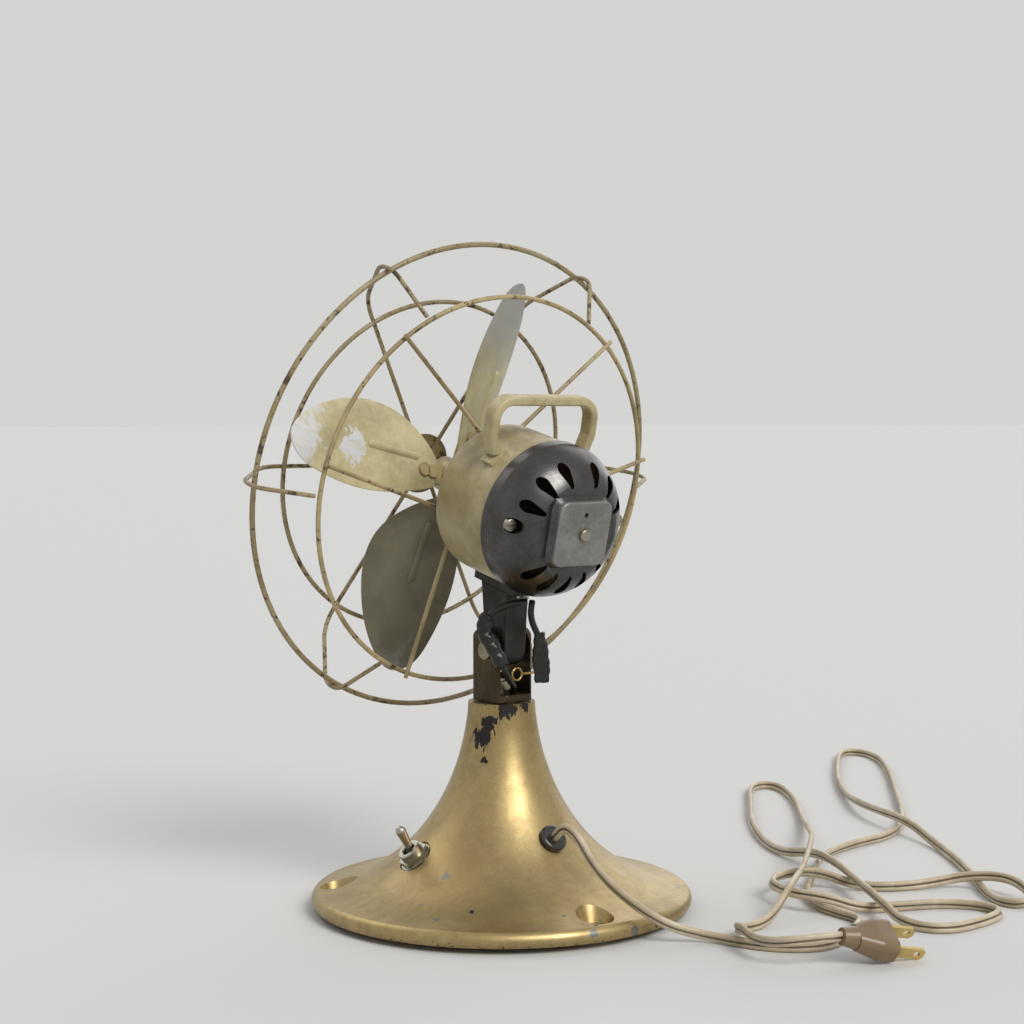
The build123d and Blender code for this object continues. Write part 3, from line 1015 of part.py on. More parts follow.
# ---------------------------------------------------------------- build
def main():
    os.makedirs("parts", exist_ok=True)

    plate, pad, plate_screws = make_bottom()
    case, bushing, washer, nut, lever = make_switch()
    plug, plug_blades = make_plug()
    save("base_casting", make_base_casting())
    save("bottom_plate", plate)
    save("felt_pad", pad)
    save("plate_screws", plate_screws)
    save("switch_body", case)
    save("switch_bushing", bushing)
    save("switch_washer", washer)
    save("switch_nut", nut)
    save("switch_lever", lever)
    save("cord_grommet", make_grommet())
    save("base_harness", make_harness())
    save("power_cord", make_cord())
    save("plug_body", plug)
    save("plug_blades", plug_blades)

    bolt, washers, swivel_nut = make_swivel()
    pin, clip = make_tilt_pin()
    save("yoke_bracket", make_yoke())
    save("swivel_bolt", bolt)
    save("swivel_washers", washers)
    save("swivel_nut", swivel_nut)
    save("tilt_pin", pin)
    save("pin_clip", clip)

    saddle, arm, saddle_screws = make_arm()
    leads, wraps = make_leads()
    save("saddle_plate", saddle)
    save("tilt_arm", arm)
    save("saddle_screws", saddle_screws)
    save("motor_leads", leads)
    save("lead_wraps", wraps)

    stator, coils = make_stator()
    rear_plate, plate_screw = make_rear_plate()
    rotor, shaft, collars = make_rotor()
    blades, rivets = make_blades()
    hub, set_screw = make_hub()
    outer_ring, front_ring, rear_ring = make_rings()
    front_disc, backing, support_screws = make_guard_details()
    head_nodes = {
        "front_housing": make_front_housing(), "rear_cover": make_rear_cover(),
        "cover_screws": group(make_cover_screws(), plate_screw), "rear_plate": rear_plate,
        "stator_core": stator, "stator_coils": coils,
        "shaft_bearings": make_bearings(),
        "carry_handle": make_handle(),
        "guard_outer_ring": outer_ring, "guard_front_ring": front_ring,
        "guard_rear_ring": rear_ring, "guard_front_disc": front_disc,
        "guard_backing": backing, "support_screws": support_screws,
        "rotor_core": rotor, "motor_shaft": shaft, "shaft_collars": collars,
        "blade_hub": hub, "hub_set_screw": set_screw, "blade_rivets": rivets,
    }
    for index, blade in enumerate(blades):
        head_nodes[f"blade_{index + 1}"] = blade
    wire, support = guard_wire(), guard_support()
    for index in range(GUARD_WIRES):
        turn = turned(GUARD_FIRST_ANGLE + index * 360 / GUARD_WIRES)
        head_nodes[f"guard_wire_{index + 1}"] = turn * wire
    for index in range(SUPPORTS):
        head_nodes[f"guard_support_{index + 1}"] = turned(index * 360 / SUPPORTS) * support
    for name, shape in head_nodes.items():
        save(name, HEAD.location * shape)


main()
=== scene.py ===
"""An old mains desk fan in worn gold and cream paint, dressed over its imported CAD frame.

Everything is in metres in the frame's own axes: +Z up, the fan blows towards -Y, and the
origin is on the table under the base.
"""

import logging
import math
from dataclasses import dataclass
from enum import Enum

import bmesh
import bpy
import numpy as np
from mathutils import Matrix, Vector


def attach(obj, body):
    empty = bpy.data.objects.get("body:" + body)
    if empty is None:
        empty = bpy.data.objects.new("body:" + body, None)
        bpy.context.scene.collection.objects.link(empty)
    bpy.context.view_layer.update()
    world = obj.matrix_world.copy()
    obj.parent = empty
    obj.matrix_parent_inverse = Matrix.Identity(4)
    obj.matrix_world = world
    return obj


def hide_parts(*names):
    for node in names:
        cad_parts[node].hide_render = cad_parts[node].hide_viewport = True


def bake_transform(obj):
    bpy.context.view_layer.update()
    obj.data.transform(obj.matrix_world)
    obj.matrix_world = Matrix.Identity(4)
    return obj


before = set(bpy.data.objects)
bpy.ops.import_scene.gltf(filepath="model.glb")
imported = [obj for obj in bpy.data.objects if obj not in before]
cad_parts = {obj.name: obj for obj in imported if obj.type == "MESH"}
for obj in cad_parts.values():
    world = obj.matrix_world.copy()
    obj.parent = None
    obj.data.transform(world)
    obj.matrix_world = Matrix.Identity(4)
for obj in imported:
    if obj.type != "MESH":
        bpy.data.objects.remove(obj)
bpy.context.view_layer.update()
LOG = logging.getLogger("desk_fan")

Colour = tuple[float, float, float]
Point = tuple[float, float, float]
Spots = tuple[tuple[Point, float], ...]       # middle and radius of each
Socket = bpy.types.NodeSocket
Node = bpy.types.Node

TILT = math.radians(13.5)                     # the motor looks up by this much
AXIS = Vector((0.0, -math.cos(TILT), math.sin(TILT)))
GUARD_CENTRE = Vector((0.0, -0.0359, 0.2148))


def rgb(red: int, green: int, blue: int) -> Colour:
    """A colour read as 0-255 display values, turned to the linear values shaders use.

    Args:
        red, green, blue: display values from 0 to 255.
    Returns:
        The linear colour; each channel is ((c + 0.055) / 1.055) to the power 2.4.
    """
    def straight(value: int) -> float:
        share = value / 255
        return share / 12.92 if share <= 0.04045 else ((share + 0.055) / 1.055) ** 2.4
    return straight(red), straight(green), straight(blue)


# ---------------------------------------------------------------- shader node groups
class Wear(Enum):
    """The effects that more than one finish uses, each a shader node group."""

    CHIPS = "paint_chips"
    GRIME = "grime"
    SCRATCHES = "fine_scratches"
    ORANGE_PEEL = "orange_peel"


class NodeSheet:
    """A node tree with short ways to add the nodes that these finishes need."""

    def __init__(self, tree: bpy.types.NodeTree) -> None:
        """Keep the tree that nodes are added to."""
        self.tree = tree

    def add(self, kind: str, **settings: object) -> Node:
        """Add one node and set its properties."""
        node = self.tree.nodes.new(kind)
        for name, value in settings.items():
            setattr(node, name, value)
        return node

    def feed(self, value: object, socket: Socket) -> None:
        """Link a socket, or set a plain number, vector or colour on it."""
        if isinstance(value, Socket):
            self.tree.links.new(value, socket)
        elif isinstance(value, tuple) and len(value) == 3 and socket.type == "RGBA":
            socket.default_value = (*value, 1.0)
        else:
            socket.default_value = value

    def place(self) -> Socket:
        """Object coordinates, which are the frame's own metres on every piece."""
        return self.add("ShaderNodeTexCoord").outputs["Object"]

    def noise(self, where: object, scale: object, detail: float = 4.0, rough: float = 0.55,
              distort: float = 0.0) -> Socket:
        """Grey noise of about 1 / scale metres."""
        node = self.add("ShaderNodeTexNoise")
        self.feed(where, node.inputs["Vector"])
        self.feed(scale, node.inputs["Scale"])
        node.inputs["Detail"].default_value = detail
        node.inputs["Roughness"].default_value = rough
        node.inputs["Distortion"].default_value = distort
        return node.outputs["Fac"]

    def stretched(self, where: object, factors: Point,
                  turn: Point = (0.0, 0.0, 0.0)) -> Socket:
        """Coordinates turned and scaled by different factors along three axes."""
        node = self.add("ShaderNodeMapping")
        self.feed(where, node.inputs["Vector"])
        node.inputs["Scale"].default_value = factors
        node.inputs["Rotation"].default_value = turn
        return node.outputs["Vector"]

    def level(self, value: object, low: object, high: object, to_low: float = 0.0,
              to_high: float = 1.0) -> Socket:
        """Smooth step: to_low where the value is at low, to_high where it is at high."""
        node = self.add("ShaderNodeMapRange", interpolation_type="SMOOTHSTEP")
        for name, entry in (("Value", value), ("From Min", low), ("From Max", high),
                            ("To Min", to_low), ("To Max", to_high)):
            self.feed(entry, node.inputs[name])
        return node.outputs["Result"]

    def maths(self, operation: str, *values: object, clamp: bool = False) -> Socket:
        """One arithmetic step on one, two or three values."""
        node = self.add("ShaderNodeMath", operation=operation, use_clamp=clamp)
        for index, value in enumerate(values):
            self.feed(value, node.inputs[index])
        return node.outputs[0]

    def times(self, value: object, factor: object, clamp: bool = False) -> Socket:
        """The product of two values."""
        return self.maths("MULTIPLY", value, factor, clamp=clamp)

    def plus(self, value: object, other: object) -> Socket:
        """The sum of two values."""
        return self.maths("ADD", value, other)

    def minus(self, value: object, other: object) -> Socket:
        """The first value less the second."""
        return self.maths("SUBTRACT", value, other)

    def larger(self, value: object, other: object) -> Socket:
        """The larger of two values, which joins two masks."""
        return self.maths("MAXIMUM", value, other)

    def vector(self, operation: str, *values: object, out: str = "Vector") -> Socket:
        """One vector step; out names the wanted output."""
        node = self.add("ShaderNodeVectorMath", operation=operation)
        for index, value in enumerate(values):
            self.feed(value, node.inputs[index])
        return node.outputs[out]

    def parts(self, value: object) -> tuple[Socket, ...]:
        """The three numbers of a vector."""
        node = self.add("ShaderNodeSeparateXYZ")
        self.feed(value, node.inputs[0])
        return tuple(node.outputs)

    def blend(self, share: object, first: object, second: object) -> Socket:
        """Colour that is the first where share is 0 and the second where it is 1."""
        node = self.add("ShaderNodeMix", data_type="RGBA")
        sockets = [entry for entry in node.inputs if entry.enabled and entry.type == "RGBA"]
        self.feed(share, next(entry for entry in node.inputs if entry.enabled
                              and entry.type == "VALUE"))
        self.feed(first, sockets[0])
        self.feed(second, sockets[1])
        return next(entry for entry in node.outputs if entry.type == "RGBA")

    def effect(self, effect: Wear, place: object, scale: object,
               amount: object) -> Socket:
        """Place one of the shared effects with its own values and return its mask."""
        node = self.add("ShaderNodeGroup")
        node.node_tree = EFFECTS[effect]
        for name, value in (("Place", place), ("Scale", scale), ("Amount", amount)):
            self.feed(value, node.inputs[name])
        return node.outputs["Mask"]


def effect_group(effect: Wear, scale: float,
                 amount: float) -> tuple[NodeSheet, Socket, Socket, Socket]:
    """Start a shader node group with Place, Scale and Amount inputs and one Mask output.

    Args:
        effect: the effect, whose value names the group.
        scale, amount: the default values of those inputs.
    Returns:
        The group's node sheet and its three input sockets.
    """
    tree = bpy.data.node_groups.new(effect.value, "ShaderNodeTree")
    tree.interface.new_socket(name="Place", in_out="INPUT", socket_type="NodeSocketVector")
    for name, value in (("Scale", scale), ("Amount", amount)):
        socket = tree.interface.new_socket(name=name, in_out="INPUT",
                                           socket_type="NodeSocketFloat")
        socket.default_value = value
    tree.interface.new_socket(name="Mask", in_out="OUTPUT", socket_type="NodeSocketFloat")
    entry = tree.nodes.new("NodeGroupInput").outputs
    return NodeSheet(tree), entry[0], entry[1], entry[2]


def close_group(sheet: NodeSheet, mask: Socket) -> bpy.types.NodeTree:
    """Send the mask out of the group and return its tree."""
    end = sheet.tree.nodes.new("NodeGroupOutput")
    sheet.feed(mask, end.inputs["Mask"])
    return sheet.tree


def build_chips() -> bpy.types.NodeTree:
    """Sharp-edged paint chips: two sizes of noise added, cut where the sum passes a level.

    The level falls as Amount rises, so that more paint is gone.
    """
    sheet, place, scale, amount = effect_group(Wear.CHIPS, 120.0, 0.3)
    large = sheet.noise(place, scale, 5.0, 0.6, 0.6)
    small = sheet.noise(place, sheet.times(scale, 4.3), 3.0, 0.7)
    total = sheet.plus(sheet.times(large, 0.72), sheet.times(small, 0.28))
    edge = sheet.minus(0.78, sheet.times(amount, 0.5))
    return close_group(sheet, sheet.level(total, edge, sheet.plus(edge, 0.018)))


def build_grime() -> bpy.types.NodeTree:
    """Cloudy dirt: broad noise raised to a soft step, stronger as Amount rises."""
    sheet, place, scale, amount = effect_group(Wear.GRIME, 25.0, 0.4)
    broad = sheet.noise(place, scale, 6.0, 0.65, 0.3)
    fine = sheet.noise(place, sheet.times(scale, 9.0), 4.0, 0.6)
    total = sheet.plus(sheet.times(broad, 0.75), sheet.times(fine, 0.25))
    cloud = sheet.level(total, 0.38, 0.68)
    return close_group(sheet, sheet.times(cloud, amount, clamp=True))


def build_scratches() -> bpy.types.NodeTree:
    """Thin scratches: noise drawn out along two directions, kept only near its crest."""
    sheet, place, scale, amount = effect_group(Wear.SCRATCHES, 60.0, 0.3)
    masks = []
    for turn in ((0.4, 0.2, 0.9), (1.3, 0.7, -0.5)):
        drawn = sheet.stretched(place, (1.0, 22.0, 3.0), turn)
        value = sheet.noise(drawn, scale, 2.0, 0.5)
        crest = sheet.maths("ABSOLUTE", sheet.minus(value, 0.5))
        masks.append(sheet.level(crest, 0.0, 0.010, 1.0, 0.0))
    both = sheet.larger(masks[0], masks[1])
    patches = sheet.level(sheet.noise(place, sheet.times(scale, 0.6), 2.0), 0.5, 0.62)
    kept = sheet.times(both, patches)
    return close_group(sheet, sheet.times(kept, amount, clamp=True))


def build_orange_peel() -> bpy.types.NodeTree:
    """Height of sprayed paint: small round bumps plus finer dust under the coat."""
    sheet, place, scale, amount = effect_group(Wear.ORANGE_PEEL, 700.0, 1.0)
    bumps = sheet.noise(place, scale, 2.0, 0.5)
    dust = sheet.level(sheet.noise(place, sheet.times(scale, 1.9), 1.0), 0.68, 0.76)
    total = sheet.plus(bumps, sheet.times(dust, 0.8))
    return close_group(sheet, sheet.times(total, amount))


EFFECTS: dict[Wear, bpy.types.NodeTree] = {
    Wear.CHIPS: build_chips(), Wear.GRIME: build_grime(),
    Wear.SCRATCHES: build_scratches(), Wear.ORANGE_PEEL: build_orange_peel(),
}


# ---------------------------------------------------------------- finishes
def start_material(name: str) -> tuple[bpy.types.Material, NodeSheet, Node]:
    """New material with an empty Principled shader.

    Returns:
        The material, its node sheet and the shader node.
    """
    material = bpy.data.materials.new(name)
    material.use_nodes = True
    sheet = NodeSheet(material.node_tree)
    shader = material.node_tree.nodes["Principled BSDF"]
    return material, sheet, shader


def surface(sheet: NodeSheet, shader: Node, colour: object, metallic: object,
            roughness: object) -> None:
    """Feed a finish's colour, metal share and roughness to its shader."""
    for name, value in (("Base Color", colour), ("Metallic", metallic),
                        ("Roughness", roughness)):
        sheet.feed(value, shader.inputs[name])


def add_bump(sheet: NodeSheet, shader: Node, height: object, strength: float,
             distance: float) -> None:
    """Raise the surface by a height map; distance is its depth in metres."""
    bump = sheet.add("ShaderNodeBump")
    bump.inputs["Strength"].default_value = strength
    bump.inputs["Distance"].default_value = distance
    sheet.feed(height, bump.inputs["Height"])
    sheet.feed(bump.outputs["Normal"], shader.inputs["Normal"])


def axis_radius(sheet: NodeSheet, place: object) -> Socket:
    """Distance from the motor's axis: length of (place - centre) crossed with the axis."""
    offset = sheet.vector("SUBTRACT", place, tuple(GUARD_CENTRE))
    crossed = sheet.vector("CROSS_PRODUCT", offset, tuple(AXIS))
    return sheet.vector("LENGTH", crossed, out="Value")


@dataclass(frozen=True)
class GoldPaint:
    """Bronze-gold metallic paint, chipped to dark metal at the neck and along the rim."""

    name: str
    paint: Colour
    shade: Colour
    metal: Colour
    dirt: float
    chips: float
    neck_height: float = 0.099      # chips thicken above this height
    rim_height: float = 0.0095      # and below this one
    roughness: float = 0.36
    lost_patches: Spots = ()        # bare metal
    primer_patches: Spots = ()      # paint gone down to the primer
    grime: Colour = rgb(62, 50, 33)
    scratch: Colour = rgb(205, 190, 150)
    primer: Colour = rgb(126, 127, 124)

    def patches(self, sheet: NodeSheet, place: object, spots: Spots) -> object:
        """Mask of ragged spots: distance to a spot's middle plus noise, cut at its radius.

        Args:
            sheet: the material's node sheet.
            place: coordinates in metres.
            spots: middle and radius of each spot.
        Returns:
            A socket that is 1 inside any spot, or 0 where there are none.
        """
        if not spots:
            return 0.0
        drawn = sheet.stretched(place, (2.2, 2.2, 0.8))
        ragged = sheet.times(sheet.minus(sheet.noise(drawn, 190.0, 4.0, 0.65), 0.5), 2.6)
        mask = 0.0
        for middle, radius in spots:
            gap = sheet.vector("DISTANCE", place, middle, out="Value")
            near = sheet.minus(sheet.maths("DIVIDE", gap, radius), ragged)
            mask = sheet.larger(mask, sheet.level(near, 0.72, 0.8, 1.0, 0.0))
        return mask

    def build(self) -> bpy.types.Material:
        """Paint, grime and chips mixed by height masks in the frame's metres."""
        material, sheet, shader = start_material(self.name)
        place = sheet.place()
        height = sheet.parts(place)[2]
        cloud = sheet.noise(place, 14.0, 3.0, 0.5)
        flake = sheet.noise(place, 1900.0, 1.0, 0.5)
        tone = sheet.plus(sheet.times(cloud, 0.7), sheet.times(flake, 0.3))
        colour = sheet.blend(sheet.level(tone, 0.35, 0.65), self.shade, self.paint)
        grime = sheet.effect(Wear.GRIME, place, 30.0, self.dirt)
        colour = sheet.blend(grime, colour, self.grime)
        neck = sheet.level(height, self.neck_height, self.neck_height + 0.006, 0.0, 0.36)
        rim = sheet.level(height, self.rim_height - 0.006, self.rim_height, 0.34, 0.0)
        amount = sheet.plus(sheet.plus(neck, rim), self.chips)
        chips = sheet.effect(Wear.CHIPS, place, 75.0, amount)
        specks = sheet.effect(Wear.CHIPS, place, 420.0, sheet.plus(sheet.times(rim, 0.6), 0.19))
        lost = sheet.larger(sheet.larger(chips, specks),
                            self.patches(sheet, place, self.lost_patches))
        scratch = sheet.effect(Wear.SCRATCHES, place, 45.0, 0.35)
        colour = sheet.blend(scratch, colour, self.scratch)
        primer = self.patches(sheet, place, self.primer_patches)
        colour = sheet.blend(primer, colour, self.primer)
        colour = sheet.blend(lost, colour, self.metal)
        rough = sheet.plus(self.roughness, sheet.times(grime, 0.25))
        surface(sheet, shader, colour, sheet.minus(0.86, sheet.times(lost, 0.3)),
                sheet.plus(rough, sheet.times(lost, 0.15)))
        peel = sheet.effect(Wear.ORANGE_PEEL, place, 650.0, 0.35)
        add_bump(sheet, shader, sheet.minus(peel, sheet.times(lost, 2.2)), 0.5, 0.00012)
        return material


@dataclass(frozen=True)
class CreamPaint:
    """Old cream enamel with grime in clouds, fine scratches and chips to dark metal."""

    name: str
    paint: Colour = rgb(196, 183, 140)
    aged: Colour = rgb(168, 150, 102)
    metal: Colour = rgb(78, 74, 66)
    dirt: float = 0.45
    chips: float = 0.16
    roughness: float = 0.34
    seam: float | None = None         # where a dirty seam runs round, along the axis
    grime: Colour = rgb(112, 97, 62)
    scratch: Colour = rgb(92, 84, 66)
    seam_dirt: Colour = rgb(70, 60, 40)

    def build(self) -> bpy.types.Material:
        """Two paint tones under grime, with chips and scratches on top."""
        material, sheet, shader = start_material(self.name)
        place = sheet.place()
        tone = sheet.noise(place, 22.0, 4.0, 0.55)
        colour = sheet.blend(sheet.level(tone, 0.35, 0.62), self.aged, self.paint)
        grime = sheet.effect(Wear.GRIME, place, 38.0, self.dirt)
        colour = sheet.blend(grime, colour, self.grime)
        scratch = sheet.effect(Wear.SCRATCHES, place, 70.0, 0.5)
        colour = sheet.blend(scratch, colour, self.scratch)
        chips = sheet.effect(Wear.CHIPS, place, 160.0, self.chips)
        colour = sheet.blend(chips, colour, self.metal)
        if self.seam is not None:
            offset = sheet.vector("SUBTRACT", place, tuple(GUARD_CENTRE))
            along = sheet.vector("DOT_PRODUCT", offset, tuple(AXIS), out="Value")
            away = sheet.maths("ABSOLUTE", sheet.minus(along, self.seam))
            line = sheet.level(away, 0.0003, 0.0011, 0.6, 0.0)
            colour = sheet.blend(line, colour, self.seam_dirt)
        surface(sheet, shader, colour, sheet.times(chips, 0.7),
                sheet.plus(self.roughness, sheet.times(grime, 0.4)))
        peel = sheet.effect(Wear.ORANGE_PEEL, place, 560.0, 0.4)
        add_bump(sheet, shader, sheet.minus(peel, sheet.times(chips, 2.0)), 0.45, 0.0001)
        return material


@dataclass(frozen=True)
class BladePaint:
    """Blade enamel that has worn to bare silver towards the tip and in one patch."""

    name: str
    paint: Colour
    shade: Colour
    bare: Colour
    worn_from: float          # radius where wear begins
    worn_to: float            # radius where the paint is gone
    patch: Point              # middle of one bare patch
    patch_size: float
    grime: Colour = rgb(98, 90, 62)
    metal: Colour = rgb(92, 88, 78)

    def build(self) -> bpy.types.Material:
        """The bare share is a step of radius plus noise, and a noisy ball round the patch."""
        material, sheet, shader = start_material(self.name)
        place = sheet.place()
        radius = axis_radius(sheet, place)
        ragged = sheet.noise(place, 75.0, 6.0, 0.7, 0.4)
        wobble = sheet.times(sheet.minus(ragged, 0.5), 0.05)
        tip = sheet.level(sheet.plus(radius, wobble), self.worn_from, self.worn_to)
        gap = sheet.vector("DISTANCE", place, self.patch, out="Value")
        near = sheet.minus(gap, sheet.times(wobble, 0.7))
        patch = sheet.level(near, self.patch_size * 0.55, self.patch_size * 0.62, 1.0, 0.0)
        bare = sheet.larger(tip, patch)
        drawn = sheet.stretched(place, (1.0, 14.0, 2.0), (0.2, 0.4, 0.7))
        streak = sheet.level(sheet.noise(drawn, 90.0, 4.0, 0.6), 0.52, 0.6)
        bare = sheet.times(bare, sheet.plus(sheet.times(streak, -0.35), 1.0))
        tone = sheet.noise(place, 30.0, 4.0, 0.6)
        colour = sheet.blend(sheet.level(tone, 0.34, 0.64), self.shade, self.paint)
        grime = sheet.effect(Wear.GRIME, place, 45.0, 0.4)
        colour = sheet.blend(grime, colour, self.grime)
        chips = sheet.effect(Wear.CHIPS, place, 210.0, 0.2)
        colour = sheet.blend(bare, colour, self.bare)
        colour = sheet.blend(chips, colour, self.metal)
        rough = sheet.plus(0.3, sheet.times(grime, 0.35))
        surface(sheet, shader, colour, sheet.times(bare, 0.55),
                sheet.plus(rough, sheet.times(bare, 0.08)))
        peel = sheet.effect(Wear.ORANGE_PEEL, place, 480.0, 0.4)
        add_bump(sheet, shader, sheet.minus(peel, bare), 0.4, 0.0001)
        return material


@dataclass(frozen=True)
class WirePaint:
    """Guard wire: old cream-gold paint in patches over dark metal, with rust specks."""

    name: str
    paint: Colour = rgb(176, 158, 116)
    metal: Colour = rgb(66, 58, 47)
    rust: Colour = rgb(98, 58, 30)
    bare: float = 0.42                # noise level under which the paint is gone
    shade: Colour = rgb(138, 122, 86)

    def build(self) -> bpy.types.Material:
        """Paint where broad noise is high, dark metal elsewhere, rust in small spots."""
        material, sheet, shader = start_material(self.name)
        place = sheet.place()
        cover = sheet.noise(place, 150.0, 7.0, 0.74, 0.2)
        gone = sheet.level(cover, self.bare, self.bare - 0.04, 0.0, 0.85)
        tone = sheet.noise(place, 35.0, 3.0)
        colour = sheet.blend(sheet.level(tone, 0.35, 0.65), self.shade, self.paint)
        colour = sheet.blend(gone, colour, self.metal)
        spots = sheet.level(sheet.noise(place, 330.0, 4.0, 0.7), 0.6, 0.66)
        colour = sheet.blend(spots, colour, self.rust)
        surface(sheet, shader, colour, sheet.times(gone, 0.75),
                sheet.plus(0.4, sheet.times(spots, 0.35)))
        relief = sheet.plus(cover, sheet.noise(place, 900.0, 2.0))
        add_bump(sheet, shader, relief, 0.6, 0.00015)
        return material


@dataclass(frozen=True)
class BareMetal:
    """Unpainted metal with a dirty film, fine turning or brush marks and small pits."""

    name: str
    colour: Colour
    film: Colour
    film_share: float = 0.4
    roughness: float = 0.3
    grain: Point = (1.0, 1.0, 1.0)    # brush marks run along the smallest of these
    grain_scale: float = 500.0
    metallic: float = 1.0

    def build(self) -> bpy.types.Material:
        """Metal under a noisy film, roughened where the film lies."""
        material, sheet, shader = start_material(self.name)
        place = sheet.place()
        film = sheet.effect(Wear.GRIME, place, 55.0, self.film_share)
        marks = sheet.noise(sheet.stretched(place, self.grain), self.grain_scale, 3.0, 0.6)
        colour = sheet.blend(film, self.colour, self.film)
        specks = sheet.effect(Wear.CHIPS, place, 380.0, 0.17)
        colour = sheet.blend(specks, colour, self.film)
        rough = sheet.plus(self.roughness - 0.08, sheet.times(marks, 0.16))
        surface(sheet, shader, colour, self.metallic, sheet.plus(rough, sheet.times(film, 0.3)))
        add_bump(sheet, shader, sheet.minus(marks, specks), 0.3, 0.00006)
        return material


@dataclass(frozen=True)
class Moulded:
    """Rubber, phenolic or vinyl: one colour that fades and collects dust, softly grained."""

    name: str
    colour: Colour
    faded: Colour
    roughness: float = 0.45
    grain_scale: float = 900.0
    grain_depth: float = 0.00004
    dust: float = 0.25
    coat: float = 0.0
    dust_colour: Colour = rgb(118, 108, 92)

    def build(self) -> bpy.types.Material:
        """Two tones by broad noise, dust on top, grain as bump."""
        material, sheet, shader = start_material(self.name)
        place = sheet.place()
        tone = sheet.noise(place, 28.0, 4.0, 0.6)
        colour = sheet.blend(sheet.level(tone, 0.36, 0.64), self.colour, self.faded)
        dust = sheet.effect(Wear.GRIME, place, 90.0, self.dust)
        colour = sheet.blend(dust, colour, self.dust_colour)
        surface(sheet, shader, colour, 0.0, sheet.plus(self.roughness, sheet.times(dust, 0.3)))
        shader.inputs["Coat Weight"].default_value = self.coat
        add_bump(sheet, shader, sheet.noise(place, self.grain_scale, 3.0, 0.6), 0.4,
                 self.grain_depth)
        return material


@dataclass(frozen=True)
class Vinyl:
    """Cord vinyl that has yellowed, with painted shade darkening the waist between the cores."""

    name: str
    colour: Colour = rgb(206, 192, 166)
    faded: Colour = rgb(184, 168, 138)
    # colour of the painted shade at the waist between the cores
    groove_shade: Colour = rgb(84, 70, 52)
    grime: Colour = rgb(146, 128, 98)

    def build(self) -> bpy.types.Material:
        """Two tones by broad noise, grime on top, and painted shade where the waist attribute is
        high.
        """
        material, sheet, shader = start_material(self.name)
        place = sheet.place()
        tone = sheet.noise(place, 34.0, 4.0, 0.6)
        colour = sheet.blend(sheet.level(tone, 0.36, 0.64), self.faded, self.colour)
        grime = sheet.effect(Wear.GRIME, place, 120.0, 0.35)
        colour = sheet.blend(grime, colour, self.grime)
        mark = sheet.add("ShaderNodeAttribute", attribute_name="groove_shade").outputs["Fac"]
        ragged = sheet.times(sheet.noise(place, 260.0, 3.0), 0.35)
        # painted shade: darker towards the waist between the cores, a shadow laid into the colour
        dirt = sheet.level(sheet.plus(mark, ragged), 0.45, 0.95, 0.0, 0.9)
        colour = sheet.blend(dirt, colour, self.groove_shade)
        surface(sheet, shader, colour, 0.0, sheet.plus(0.34, sheet.times(grime, 0.4)))
        add_bump(sheet, shader, sheet.noise(place, 1500.0, 2.0, 0.6), 0.3, 0.00003)
        return material


@dataclass(frozen=True)
class Felt:
    """Pressed felt: short fibres as fine noise in colour and height."""

    name: str
    colour: Colour = rgb(52, 48, 42)
    fibre: Colour = rgb(96, 90, 80)

    def build(self) -> bpy.types.Material:
        """Fibre noise lightens the colour and lifts the surface."""
        material, sheet, shader = start_material(self.name)
        place = sheet.place()
        fibre = sheet.noise(sheet.stretched(place, (1.0, 1.0, 0.3)), 1400.0, 5.0, 0.75, 1.2)
        surface(sheet, shader, sheet.blend(fibre, self.colour, self.fibre), 0.0, 0.95)
        shader.inputs["Sheen Weight"].default_value = 0.3
        add_bump(sheet, shader, fibre, 0.8, 0.0003)
        return material


# ---------------------------------------------------------------- meshes from formulas
def add_object(name: str, data: bpy.types.ID) -> bpy.types.Object:
    """Put a new object with the given data into the scene."""
    piece = bpy.data.objects.new(name, data)
    bpy.context.scene.collection.objects.link(piece)
    return piece


def mesh_object(name: str, points: np.ndarray, faces: list[list[int]],
                smooth: bool = True) -> bpy.types.Object:
    """Make an object of points and faces.

    Args:
        name: the piece's name.
        points: n by 3 array in metres.
        faces: point numbers of each face, counter-clockwise seen from outside.
        smooth: shade the faces smooth.
    """
    mesh = bpy.data.meshes.new(name)
    mesh.from_pydata(points.tolist(), [], faces)
    mesh.validate()
    mesh.polygons.foreach_set("use_smooth", np.full(len(mesh.polygons), smooth))
    mesh.update()
    return add_object(name, mesh)


def grid_faces(rows: int, columns: int) -> np.ndarray:
    """Quads of a grid whose columns close round: point number is row times columns + column."""
    row, column = np.meshgrid(np.arange(rows - 1), np.arange(columns), indexing="ij")
    beside = (column + 1) % columns
    corners = (row * columns + column, row * columns + beside,
               (row + 1) * columns + beside, (row + 1) * columns + column)
    return np.stack([corner.ravel() for corner in corners], axis=1)


def upright_frames(path: np.ndarray, lean: np.ndarray) -> tuple[np.ndarray, np.ndarray]:
    """Two directions across a path: one as near to vertical as it goes, turned by a lean.

    The upright direction is +Z less its share along the path, at unit length. Both are
    then turned about the path by the lean, u = cos * upright + sin * sideways.

    Args:
        path: n by 3 points, nowhere vertical.
        lean: n angles in radians.
    Returns:
        Two n by 3 arrays of unit vectors, both square to the path.
    """
    along = np.gradient(path, axis=0)
    along /= np.linalg.norm(along, axis=1, keepdims=True)
    upright = np.array([[0.0, 0.0, 1.0]]) - along * along[:, 2:]
    upright /= np.linalg.norm(upright, axis=1, keepdims=True)
    sideways = np.cross(along, upright)
    cosine, sine = np.cos(lean)[:, None], np.sin(lean)[:, None]
    return cosine * upright + sine * sideways, cosine * sideways - sine * upright


